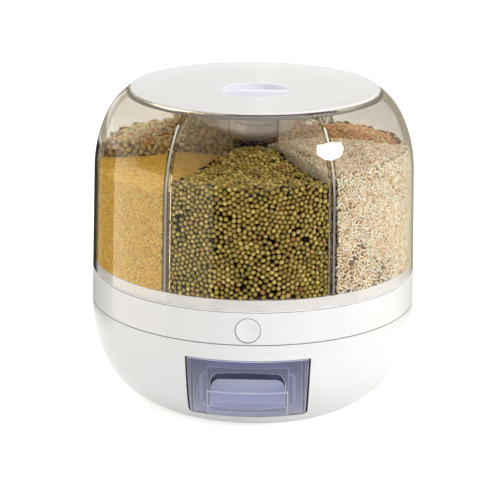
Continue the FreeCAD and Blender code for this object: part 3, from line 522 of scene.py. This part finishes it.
# %% Bands along the wall and round the bowl
# sawn inner edge of the plates, darker as painted shade
sawn_painted_shade = moulded("sawn_painted_shade", seen(104, 97, 92), seen(116, 108, 103), 0.5, 0.6, 900, 3e-6, IOR=1.5)
bowl_room_r, bowl_room_low, bowl_room_high = 0.04401, 0.2441, 0.2639
edge_top_z = 0.2755
band_near, band_far, band_half = 0.00005, 0.00026, 0.00095


def plate_edge(name, out, z, sign, azimuth, material):
    """Rows of four corners, band_near and band_far inside the plate's edge at radius out(z)."""
    inset = sign * np.array([band_near, band_near, band_far, band_far])
    side = sign * band_half * np.array([1, -1, -1, 1])
    band = skin_over(name, to_drum(out + inset, side + 0 * z, z + 0 * side, azimuth), material)
    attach(band, "drum")


along_wall = np.linspace(floor_z + 0.001, edge_top_z, 60)[:, None]
round_bowl = np.linspace(bowl_room_low, bowl_room_high, 8)[:, None]
for azimuth in range(30, 360, 60):
    plate_edge(f"plate_edge_{azimuth}", wall_radius(along_wall), along_wall, -1, azimuth, frosted_painted_light)
    plate_edge(f"plate_inner_edge_{azimuth}", bowl_room_r, round_bowl, 1, azimuth, sawn_painted_shade)
print("plate edges", 2 * len(range(30, 360, 60)))

# %% [markdown]
# ## Return spring
#
# The coil behind the button stands between the chute and the fork, and it gets shorter as the button goes
# in. A rigid CAD part can't do that. The same coil is drawn again here, as a wire carried along a helix.

# %% Coil of six turns
button_travel, spring_wire_r, spring_turns = 0.012, 0.00045, 6


def coil(name, low, high, wire, turns, material):
    """x = R cos a, y = p a, z = R sin a, and a ring r (e cos b + n sin b) round each of these points.

    Here e points away from the coil's axis, and n is square to e and to the wire.
    """
    radius = (high.x - low.x) / 2 - wire
    a = np.linspace(0, 2 * math.pi * turns, 20 * turns + 1)[:, None]
    b = np.linspace(0, 2 * math.pi, 9)[None, :-1]
    rise = (high.y - low.y - 2 * wire) / (2 * math.pi * turns)
    lean = math.hypot(radius, rise)
    out = radius + wire * np.cos(b)
    x = out * np.cos(a) + wire * np.sin(b) * rise / lean * np.sin(a)
    y = low.y + wire + rise * a + wire * np.sin(b) * radius / lean
    z = (low.z + high.z) / 2 + out * np.sin(a) - wire * np.sin(b) * rise / lean * np.cos(a)
    return skin_over(name, np.stack([x, y, z], -1), material)


spring_low, spring_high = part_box("return_spring")
return_coil = coil("return_coil", spring_low, spring_high, spring_wire_r, spring_turns, steel)
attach(return_coil, "base")
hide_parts("return_spring")
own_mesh(return_coil)

# %% [markdown]
# ## Six heaps
#
# Poured grain lies in a soft cone under the place it was poured on, and stands nearly level at the wall.
# Each heap is a height over the wedge: the level at the wall plus a bump around its top. Slow waves keep it
# from looking turned on a lathe. The six fillings differ in size, shape and colour, as in the photograph:
# mung beans in front, then pale oats, chickpeas, red beans, large tan seeds and yellow millet.

# %% The fillings
heap_spread = 0.040
fillings = {
    "mung": dict(azimuth=0, wall=0.229, top=0.2430, top_out=0.050,
                 size=(0.0057, 0.0048, 0.0046), around=7, rings=4, room=0.91),
    "oats": dict(azimuth=60, wall=0.236, top=0.2490, top_out=0.075,
                 size=(0.0048, 0.0025, 0.0019), around=5, rings=3, room=0.86),
    "chickpea": dict(azimuth=120, wall=0.232, top=0.2460, top_out=0.080,
                     size=(0.0070, 0.0056, 0.0052), around=8, rings=5, room=0.94),
    "red_bean": dict(azimuth=180, wall=0.226, top=0.2400, top_out=0.070,
                     size=(0.0064, 0.0045, 0.0043), around=7, rings=4, room=0.96),
    "pale_seed": dict(azimuth=240, wall=0.232, top=0.2500, top_out=0.080,
                      size=(0.0084, 0.0052, 0.0038), around=8, rings=5, room=0.92),
    "millet": dict(azimuth=300, wall=0.219, top=0.2320, top_out=0.070,
                   size=(0.0022, 0.0020, 0.0019), around=5, rings=2, room=0.84),
}


def heap(filling, out, side):
    """h = wall + (top - wall) exp(-(d/heap_spread)^1.6) + 0.6 mm waves, d being the way from its top."""
    d = np.hypot(out - filling["top_out"], side)
    bump = (filling["top"] - filling["wall"]) * np.exp(-((d / heap_spread) ** 1.6))
    k = filling["azimuth"]
    waves = np.sin(210 * out + k) * np.sin(170 * side + 2 * k) + 0.6 * np.sin(390 * side + 310 * out + k)
    return filling["wall"] + bump + 0.0006 * waves


for name, filling in fillings.items():
    filling["gap"] = 0.5 * (filling["size"][0] + filling["size"][1]) * filling["room"]
    print(name, "level in the middle of the heap", round(float(heap(filling, filling["top_out"], 0.0)), 4))

# %% [markdown]
# ## One grain, and thousands of copies in one mesh
#
# A grain is an egg shape on a grid of two angles with only a few dozen faces, because it is repeated
# thousands of times. All the copies in a layer are turned, placed and coloured in one go as numpy arrays,
# and go into one mesh. A colour for every point is kept in the mesh, so that no two grains look quite
# alike.

# %% Egg shape on a small grid
def grain_shape(around, rings):
    """x = cos t, y = sin t cos p, z = sin t sin p, with t from pole to pole and p round; unit half-axes."""
    t = np.pi * np.arange(1, rings + 1) / (rings + 1)
    p = 2 * np.pi * (np.arange(around) + 0.5 * (np.arange(rings)[:, None] % 2)) / around
    ring = np.stack([np.broadcast_to(np.cos(t)[:, None], p.shape), np.sin(t)[:, None] * np.cos(p),
                     np.sin(t)[:, None] * np.sin(p)], axis=-1)
    points = np.concatenate([[[1.0, 0, 0]], ring.reshape(-1, 3), [[-1.0, 0, 0]]])
    here = np.arange(around)
    after = (here + 1) % around
    first = np.stack([np.zeros(around, int), 1 + here, 1 + after], axis=1)
    base = 1 + around * (rings - 1)
    last = np.stack([np.full(around, len(points) - 1), base + after, base + here], axis=1)
    faces = [first, last]
    for k in range(rings - 1):
        a, b = 1 + k * around, 1 + (k + 1) * around
        shift = here if k % 2 == 0 else after
        back = (here - 1) % around if k % 2 == 0 else here
        faces.append(np.stack([a + here, b + back, b + shift], axis=1))
        faces.append(np.stack([a + here, b + shift, a + after], axis=1))
    return points, np.concatenate(faces)


print("a bean has", len(grain_shape(7, 4)[1]), "triangles")

# %% Arrays into a mesh that turns with the drum
def put_mesh(name, points, triangles, material, colours=None):
    """Arrays into a smooth mesh object with foreach_set. The colour of each point goes into 'skin'."""
    mesh = bpy.data.meshes.new(name)
    mesh.vertices.add(len(points))
    mesh.vertices.foreach_set("co", points.astype(np.float32).ravel())
    mesh.loops.add(triangles.size)
    mesh.loops.foreach_set("vertex_index", triangles.astype(np.int32).ravel())
    mesh.polygons.add(len(triangles))
    mesh.polygons.foreach_set("loop_start", np.arange(0, triangles.size, 3, dtype=np.int32))
    mesh.polygons.foreach_set("use_smooth", np.ones(len(triangles), bool))
    if colours is not None:
        skin = mesh.attributes.new("skin", "FLOAT_COLOR", "POINT")
        skin.data.foreach_set("color", colours.astype(np.float32).ravel())
    mesh.update(calc_edges=True)
    mesh.validate()
    mesh.materials.append(material)
    piece = shown(name, mesh)
    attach(piece, "drum")


print("array helper ready")

# %% [markdown]
# ## Where the grains lie
#
# Poured beans touch each other but follow no pattern. Random points would overlap and leave holes, and a
# lattice would look woven. So random points push their near neighbours away for a few rounds, until each
# has about its own room. Millet is too fine for that to show, and starts from a shaken lattice.

# %% Points that keep their distance
def keep_apart(low, high, gap, rounds=28):
    """Random points in a box, one for each 0.80 gap^2 of it, that push each other apart.

    Each round adds 0.35 (gap - d) (p - q)/d for neighbours q nearer than gap. Every fifth round looks for
    the neighbours again.
    """
    size = np.array(high) - low
    count = int(size[0] * size[1] / (0.80 * gap * gap))
    points = low + size * chance.random((count, 2))
    for step in range(rounds):
        if step % 5 == 0:
            near = sum((points[:, None, k] - points[None, :, k]) ** 2 for k in (0, 1)) < (1.7 * gap) ** 2
            one, other = np.nonzero(near & ~np.eye(count, dtype=bool))
        away = points[one] - points[other]
        d = np.hypot(away[:, 0], away[:, 1]) + 1e-9
        push = np.where(d < gap, 0.35 * (gap - d) / d, 0)[:, None] * away
        moved = np.stack([np.bincount(one, push[:, k], count) for k in (0, 1)], axis=1)
        points = np.clip(points + moved, low, high)
    return points


def shaken_lattice(low, high, gap):
    """Rows gap * 0.87 apart with every second row shifted by half a gap, and each point moved a little."""
    rows = np.arange(low[1], high[1], gap * 0.87)
    columns = np.arange(low[0], high[0], gap)
    x, y = np.meshgrid(columns, rows)
    x = x + 0.5 * gap * (np.arange(len(rows))[:, None] % 2)
    return np.stack([x, y], -1).reshape(-1, 2) + gap * chance.normal(0, 0.16, (x.size, 2))


fine_gap = 0.0023


def scatter(low, high, gap):
    """Fine grain takes the lattice, all other grain the points that keep their distance."""
    return shaken_lattice(low, high, gap) if gap < fine_gap else keep_apart(low, high, gap)


print("points for 40 x 40 mm of mung beans:", len(keep_apart((0, 0), (0.04, 0.04), 0.0042)))

# %% Directions that turn each grain
def turned(count, facing, tilt):
    """Rotations whose thin axis is near the facing direction: a random turn about it, then a small tilt."""
    n = facing + tilt * chance.normal(0, 1, (count, 3))
    n /= np.linalg.norm(n, axis=1, keepdims=True)
    a = np.cross(n, chance.normal(0, 1, (count, 3)))
    a /= np.linalg.norm(a, axis=1, keepdims=True)
    return np.stack([a, np.cross(n, a), n], axis=-1)


def grains(filling, centres, facing, tilt, deep, dark, span):
    """Points of all grains, centre + turn * (size/2 * egg), their triangles, and how open each point lies.

    A point's openness is deep + (1 - deep) * ((c - dark) / span)^1.4, where c is the cosine between its
    direction from the grain's middle and the way the layer faces. The bracket is kept between 0 and 1.
    """
    shape, faces = grain_shape(filling["around"], filling["rings"])
    count = len(centres)
    half = 0.5 * np.array(filling["size"]) * (1 + 0.06 * chance.normal(0, 1, (count, 1)))
    offset = np.einsum("nij,nkj->nki", turned(count, facing, tilt), shape[None, :, :] * half[:, None, :])
    cosine = np.einsum("nki,ni->nk", offset, facing) / np.linalg.norm(offset, axis=-1)
    openness = deep + (1 - deep) * np.clip((cosine - dark) / span, 0, 1) ** 1.4
    triangles = faces[None, :, :] + len(shape) * np.arange(count)[:, None, None]
    return (offset + centres[:, None, :]).reshape(-1, 3), triangles.reshape(-1, 3), openness


print("grain helpers ready")

# %% [markdown]
# ## Layers of grain against the wall, on the heap and along the plates
#
# Only the outside of a heap shows. Two layers lie against the wall and on top of the heap, so that gaps
# between the first grains show more grains and not a hole. Beside the clear plates one layer is enough, and
# fine millet has one everywhere. The rest is one core, which fills the wedge behind the layers.

# %% Centres of the grains in each layer
wedge_low, wedge_high = (0.02, -0.078), (0.150, 0.078)
seen_down, seen_in, heap_rise = 0.024, 0.011, 0.016


def wall_layer(filling, depth):
    """Against the wall: angle s/R and height z, radius = wall radius - depth, clear of plates and ribs."""
    gap = filling["gap"]
    reach = mean_wall_r * half_wedge
    s, z = scatter((-reach, floor_z + 0.3 * gap), (reach, filling["wall"] + heap_rise), gap).T
    angle = s / mean_wall_r
    r = wall_radius(z) - depth - 0.0004 * chance.random(len(s))
    room = r * np.sin(half_wedge - np.abs(angle)) - filling["size"][1] * 0.5
    side = rib_side if depth < rib_in + filling["size"][2] * 0.5 else plate_half
    out = r * np.cos(angle)
    keep = (room > side) & (z < heap(filling, out, r * np.sin(angle)) - 0.3 * filling["size"][2])
    outward = to_drum(np.cos(angle), np.sin(angle), 0 * z, filling["azimuth"])
    return to_drum(out, r * np.sin(angle), z, filling["azimuth"])[keep], outward[keep]


def heap_layer(filling, depth):
    """On the heap: scattered over the wedge from above, z = heap - depth."""
    half = filling["size"][1] * 0.5
    out, side = scatter(wedge_low, wedge_high, filling["gap"]).T
    z = heap(filling, out, side) - depth - 0.2 * filling["size"][2] * chance.random(len(out))
    r = np.hypot(out, side)
    plate = out * math.sin(half_wedge) - np.abs(side) * math.cos(half_wedge)
    near_rib = r > wall_radius(z) - rib_in
    keep = (r < wall_radius(z) - half) & (r > column_room + half)
    keep &= plate > half + np.where(near_rib, rib_side, plate_half)
    up = np.zeros((len(out), 3)) + (0, 0, 1)
    return to_drum(out, side, z, filling["azimuth"])[keep], up[keep]


def plate_layer(filling, sign):
    """Beside a plate: points along it and up it, within seen_down of the top or seen_in of the wall."""
    gap = filling["gap"]
    half = filling["size"][2] * 0.5
    along, z = scatter((column_room, floor_z + 0.3 * gap), (mean_wall_r, filling["top"]), gap).T
    off = plate_half + half + 0.0002 * chance.random(len(z))
    out = along * math.cos(half_wedge) + off * math.sin(half_wedge)
    side = sign * (along * math.sin(half_wedge) - off * math.cos(half_wedge))
    surface = heap(filling, out, side) - 0.4 * filling["size"][2]
    inner = wall_radius(z) - rib_in - filling["size"][1] * 0.5
    keep = (z < surface) & (along < inner) & ((z > surface - seen_down) | (along > inner - seen_in))
    toward = to_drum(-math.sin(half_wedge) + 0 * z, sign * math.cos(half_wedge), 0 * z, filling["azimuth"])
    return to_drum(out, side, z, filling["azimuth"])[keep], toward[keep]


print("layer helpers ready")

# %% The layers of each filling
for name, filling in fillings.items():
    filling["layers"] = {
        "wall": [wall_layer(filling, filling["size"][2] * 0.52)],
        "heap": [heap_layer(filling, filling["size"][2] * 0.5)],
        "plates": [plate_layer(filling, sign) for sign in (-1, 1)],
    }
    if name != "millet":
        filling["layers"]["wall_behind"] = [wall_layer(filling, filling["size"][2] * 1.35)]
        filling["layers"]["heap_below"] = [heap_layer(filling, filling["size"][2] * 1.3)]
    print(name, {k: sum(len(c) for c, _ in v) for k, v in filling["layers"].items()})

# %% [markdown]
# ## Skins of the grains
#
# A mung bean is olive green and shiny, with a few that are yellower or browner. Oats and millet are dull
# and pale. The colour of each grain is drawn from a short row of colours, and the shader adds a fine mottle
# and the right gloss. Little light gets between the grains, so their hidden sides and the second layer are
# darkened, and the core behind them has one darker colour.

# %% Colours, gloss and mottle
# behind, deep and core hold painted shade: the darker second layer, the darker hidden sides and the dark
# core
skins = {
    "mung": dict(
        row=[(202, 182, 88), (172, 156, 66), (226, 206, 118), (178, 136, 70), (198, 150, 88)],
        weights=[0.40, 0.32, 0.22, 0.04, 0.02], rough=0.22, core=(14, 8, 3), behind=0.12, deep=0.0),
    "oats": dict(
        row=[(255, 240, 214), (255, 232, 200), (255, 246, 228), (248, 220, 182), (230, 196, 150)],
        weights=[0.34, 0.28, 0.2, 0.13, 0.05], rough=0.5, core=(150, 112, 76), behind=0.36, deep=1.0),
    "chickpea": dict(
        row=[(255, 200, 134), (255, 190, 122), (255, 210, 150), (248, 176, 106), (255, 202, 140)],
        weights=[0.3, 0.25, 0.2, 0.15, 0.1], rough=0.45, core=(84, 46, 26), behind=0.40, deep=0.2),
    "red_bean": dict(
        row=[(142, 74, 52), (126, 60, 44), (156, 90, 62), (112, 52, 40), (168, 110, 78)],
        weights=[0.3, 0.28, 0.2, 0.14, 0.08], rough=0.32, core=(40, 18, 12), behind=0.3, deep=0.15),
    "pale_seed": dict(
        row=[(255, 232, 180), (255, 220, 164), (255, 240, 194), (252, 204, 142), (240, 182, 116)],
        weights=[0.3, 0.28, 0.2, 0.14, 0.08], rough=0.45, core=(96, 56, 30), behind=0.45, deep=0.5),
    "millet": dict(
        row=[(255, 208, 88), (255, 198, 74), (255, 216, 106), (248, 182, 60), (255, 226, 136)],
        weights=[0.32, 0.28, 0.2, 0.12, 0.08], rough=0.4, core=(214, 152, 52), behind=1.0, deep=0.9),
}


def skin_finish(name, rough, mottle, depth):
    """Colour read from the mesh, made a little darker and lighter by fine noise, with a faint bump."""
    material = new_finish(name + "_skin", (0.5, 0.5, 0.5, 1), rough, IOR=1.7 if rough < 0.35 else 1.5)
    own = add(material, "ShaderNodeAttribute", attribute_name="skin")
    tone = add(material, "ShaderNodeHueSaturation")
    join(material, own.outputs["Color"], tone.inputs["Color"])
    join(material, between(material, noise(material, mottle, 3), 0.88, 1.10), tone.inputs["Value"])
    join(material, tone.outputs["Color"], principled(material).inputs["Base Color"])
    texture_bump(material, noise(material, mottle, 2), depth)
    return material


def drawn(name, count, light):
    """A colour for each grain: one of the row by its weight, times 1 +- 13 %, times the light it gets."""
    row = np.array([seen(*c) for c in skins[name]["row"]])
    picked = row[chance.choice(len(row), count, p=skins[name]["weights"])]
    picked[:, :3] *= light * (1 + 0.13 * chance.normal(0, 1, (count, 1)))
    return np.clip(picked, 0, 1)


for name, skin in skins.items():
    skin["finish"] = skin_finish(name, skin["rough"], 1.6 / fillings[name]["size"][1], 4e-5)
print("skins", list(skins))

# %% Grains into meshes
# painted shade on the grains' hidden sides, warmer where it is darker
painted_shade_tint = np.array([0.85, 1.0, 1.3])
total = 0
for name, filling in fillings.items():
    for part, layers in filling["layers"].items():
        centres = np.concatenate([c for c, _ in layers])
        facing = np.concatenate([f for _, f in layers])
        tilt, dark, span = (0.6, -0.3, 1.2) if part.startswith("heap") else (0.25, 0.26, 0.66)
        light = skins[name]["behind"] if part in ("wall_behind", "heap_below") else 1.0
        points, triangles, openness = grains(filling, centres, facing, tilt, skins[name]["deep"], dark, span)
        colours = np.repeat(drawn(name, len(centres), light), openness.shape[1], axis=0)
        colours[:, :3] *= openness.reshape(-1, 1) ** painted_shade_tint
        put_mesh(f"{name}_{part}", points, triangles, skins[name]["finish"], colours)
        total += len(triangles)
print("triangles of grain", total)

# %% [markdown]
# ## The core of each heap
#
# The core is a closed shape on a grid. Seen from above it is the wedge, drawn as a distance in every
# direction from the wedge's own middle. Its side goes straight up behind the grain layers, and its top
# follows the heap a little lower down.

# %% Wedge outline and closed core
core_middle, directions = 0.095, 96


def reach_in(direction, start, z, inset):
    """Distance from the start to the edge: the least of wall circle, two planes and column circle."""
    dx, dy = np.cos(direction), np.sin(direction)
    radius = wall_radius(z) - inset
    along = start * dx
    best = -along + np.sqrt(np.maximum(along ** 2 - start ** 2 + radius ** 2, 0))
    for sign in (-1, 1):
        closing = sign * dy * math.cos(half_wedge) - dx * math.sin(half_wedge)
        room = start * math.sin(half_wedge) - plate_half - inset
        best = np.minimum(best, np.where(closing > 1e-6, room / np.maximum(closing, 1e-6), 1.0))
    inside = along ** 2 - start ** 2 + (column_room + inset) ** 2
    hits = (inside > 0) & (dx < 0)
    return np.minimum(best, np.where(hits, -along - np.sqrt(np.maximum(inside, 0)), 1.0))


def core_grid(filling, inset, drop):
    """Rows: flat bottom out to the edge, straight up, then in along the heap; columns: directions round."""
    direction = 2 * np.pi * np.arange(directions) / directions
    cosine, sine = np.cos(direction), np.sin(direction)
    start = core_middle
    bottom = floor_z + 0.0002
    edge_top = filling["wall"] * np.ones(directions)
    for _ in range(6):
        far = reach_in(direction, start, edge_top, inset)
        edge_top = heap(filling, start + far * cosine, far * sine) - drop
    rows = [(reach_in(direction, start, bottom, inset) * k / 3, bottom + 0 * far) for k in (1, 2, 3)]
    for k in range(1, 9):
        z = bottom + (edge_top - bottom) * k / 8
        rows.append((reach_in(direction, start, z, inset), z))
    for k in range(1, 14):
        t = far * (1 - k / 14)
        rows.append((t, heap(filling, start + t * cosine, t * sine) - drop))
    grid = np.stack([np.stack([start + d * cosine, d * sine, z], -1) for d, z in rows])
    top = (start, 0.0, float(heap(filling, start, 0.0)) - drop)
    return grid, np.array([start, 0, bottom]), np.array(top)


def closed_faces(rows, columns):
    """Two triangles for each square of the grid, with the first and last row drawn to one point each."""
    k, c = np.meshgrid(np.arange(rows - 1), np.arange(columns), indexing="ij")
    a, b = 1 + k * columns + c, 1 + k * columns + (c + 1) % columns
    sides = np.concatenate([np.stack([a, b, b + columns], -1).reshape(-1, 3),
                            np.stack([a, b + columns, a + columns], -1).reshape(-1, 3)])
    here = np.arange(columns)
    low = np.stack([0 * here, 1 + (here + 1) % columns, 1 + here], -1)
    first = 1 + (rows - 1) * columns
    high = np.stack([0 * here + 1 + rows * columns, first + here, first + (here + 1) % columns], -1)
    return np.concatenate([low, sides, high])


print("core helpers ready")

# %% Cores into meshes
for name, filling in fillings.items():
    thick = filling["size"][2]
    layers = 1.0 if name == "millet" else 1.9
    grid, low, high = core_grid(filling, thick * layers * 0.9, thick * layers * 0.8)
    local = np.concatenate([[low], grid.reshape(-1, 3), [high]])
    points = to_drum(local[:, 0], local[:, 1], local[:, 2], filling["azimuth"])
    # the core's dark colour is painted shade behind the grain layers
    dark = seen(*skins[name]["core"])
    core = moulded(f"{name}_deep", tuple(0.6 * v for v in dark[:3]) + (1,), dark, 0.6, 0.8,
                   1.0 / filling["size"][1], 6e-4, IOR=1.4)
    put_mesh(f"{name}_core", points, closed_faces(len(grid), directions), core)
print("cores", len(fillings))

# %% [markdown]
# ## Studio
#
# The photograph has a white ground and a white background, and one soft key light from the upper right. The
# floor is a plain pale sheet that keeps the object's soft shadow. The background is white for what the
# camera sees, directly, in gloss or through the clear plastic. The light on the object itself stays at a
# plain level.

# %% Floor and world
background_rays = ("Is Camera Ray", "Is Glossy Ray", "Is Transmission Ray")
floor_r = 3


def studio_white(material, surface, strength, through, colour):
    """Adds a glow to the surface: the strength for camera and gloss rays, less for rays through plastic."""
    clear = any_ray(material, "Is Transmission Ray")
    level = reckon(material, "MULTIPLY_ADD", clear, through - strength, strength)
    glow = add(material, "ShaderNodeEmission")
    glow.inputs["Color"].default_value = colour
    strength_now = reckon(material, "MULTIPLY", level, any_ray(material, *background_rays))
    join(material, strength_now, glow.inputs["Strength"])
    both = add(material, "ShaderNodeAddShader")
    join(material, surface, both.inputs[0])
    join(material, glow.outputs[0], both.inputs[1])
    to_surface(material, both.outputs[0])


ring = 2 * np.pi * np.arange(64) / 64
sheet = bpy.data.meshes.new("floor")
corners = np.stack([floor_r * np.cos(ring), floor_r * np.sin(ring), 0 * ring], -1)
sheet.from_pydata(corners.tolist(), [], [tuple(range(64))])
floor = shown("floor", sheet)
paper = new_finish("paper", seen(224, 224, 222), 0.9)
principled(paper).inputs["Specular IOR Level"].default_value = 0.1
studio_white(paper, principled(paper).outputs["BSDF"], 0.62, 0.42, (1, 1, 0.99, 1))
sheet.materials.append(paper)
floor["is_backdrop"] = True

world = bpy.data.worlds.new("studio")
bpy.context.scene.world = world
world.use_nodes = True
sky = world.node_tree.nodes["Background"]
join(world, ramp(world, any_ray(world, *background_rays), 0, 1, 0.55, 1.0), sky.inputs["Strength"])
sky.inputs["Color"].default_value = (1, 1, 0.99, 1)
print("floor and world ready")

# %% [markdown]
# The key light is a soft oval above the right shoulder of the camera. It is placed so that its mirror image
# falls on the drum's shoulder over the right rib, where the photograph has its one hard white highlight.
# Four other lamps stand at the left, low in front, above and behind. They even out the white parts and the
# grain, and nothing mirrors them, so that highlight stays alone.

# %% Lights
def soft_light(name, place, target, wide, high, power, mirrored=False):
    """An oval area light that looks at its target and isn't seen by the camera."""
    lamp = bpy.data.lights.new(name, "AREA")
    lamp.shape = "ELLIPSE"
    lamp.size, lamp.size_y = wide, high
    lamp.energy = power
    light = shown(name, lamp)
    away = np.array(place) - np.array(target)
    away /= np.linalg.norm(away)
    side = np.cross((0, 0, 1), away)
    side /= np.linalg.norm(side)
    up = np.cross(away, side)
    aimed(light, side, up, away, place)
    light.visible_camera = False
    light.visible_transmission = False
    light.visible_glossy = mirrored


soft_light("key", (1.25, -0.70, 0.95), (0.068, -0.120, 0.262), 0.58, 0.46, 12.6, mirrored=True)
soft_light("fill", (-1.2, -1.1, 1.1), (0, 0, 0.2), 0.9, 0.9, 3.2)
soft_light("low", (0.1, -1.3, 0.07), (0, 0, 0.02), 1.0, 0.12, 1.9)
soft_light("top", (-0.3, 0.2, 1.8), (0, 0, 0.25), 1.6, 1.6, 6.1)
soft_light("back", (-0.8, 1.1, 0.9), (0, 0, 0.24), 0.9, 0.9, 9)
print("lights ready")

# %% [markdown]
# ## Cards and flags
#
# Clear plastic shows mostly what it mirrors. In a white room it would vanish in a haze, so a photographer
# stands dark flags and pale cards round it. A dark one in front keeps the grain rich in contrast. Two pale
# ones on the left give the drum its upright bands of light, and one on the right a soft haze. Dimmer ones
# behind draw its outline. Two large ones farther off, dark in front and pale behind, stand for the room.
# All have its warm white. They are seen only in gloss, and they give no light to anything else.

# %% Curved cards that only gloss can see
warm_white = np.array([1.0, 0.93, 0.73])


def card(name, first, last, low, high, distance, brightness):
    """A grid on a cylinder: x = d sin a, y = -d cos a, with a from first to last and z from low to high."""
    a, z = np.meshgrid(np.radians(np.linspace(first, last, 25)), np.linspace(low, high, 5))
    points = np.stack([distance * np.sin(a), -distance * np.cos(a), z], -1).reshape(-1, 3)
    k, c = np.meshgrid(np.arange(4), np.arange(24), indexing="ij")
    corner = (k * 25 + c).ravel()
    faces = np.stack([corner, corner + 1, corner + 26, corner + 25], -1)
    mesh = bpy.data.meshes.new(name)
    mesh.from_pydata(points.tolist(), [], faces.tolist())
    glow = bpy.data.materials.new(name)
    glow.use_nodes = True
    glow.node_tree.nodes.remove(principled(glow))
    lamp = add(glow, "ShaderNodeEmission")
    lamp.inputs["Color"].default_value = (*(brightness * warm_white), 1)
    to_surface(glow, lamp.outputs[0])
    mesh.materials.append(glow)
    board = shown(name, mesh)
    for kind in ("camera", "diffuse", "transmission", "volume_scatter", "shadow"):
        setattr(board, "visible_" + kind, False)
    board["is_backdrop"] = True


card("flag_high", -90, 90, 0.25, 6.0, 2.6, 0.04)
card("back_high", 90, 270, 0.5, 6.0, 2.6, 0.7)
card("flag_low", -19.5, 62, 0.0, 0.25, 0.3, 0.03)
card("card_left", -45, -19.5, 0.0, 0.245, 0.3, 1.0)
card("card_side", -90, -45, 0.0, 0.245, 0.3, 2.1)
card("flag_side", -140, -91, 0.0, 0.25, 0.3, 0.04)
card("edge_left", -179, -140, 0.0, 0.5, 0.3, 0.3)
card("card_right", 62, 100, 0.0, 0.245, 0.3, 0.8)
card("edge_right", 100, 179, 0.0, 0.5, 0.3, 0.4)
print("cards and flags ready")

# %% [markdown]
# ## Last step
#
# The size of the finished model's box is printed. The view transform is Standard, so colours come out as
# they were written.

# %% Size of the finished model
bpy.context.scene.view_settings.view_transform = "Standard"
low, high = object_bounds()
print("size", [round(h - l, 4) for l, h in zip(low, high)])
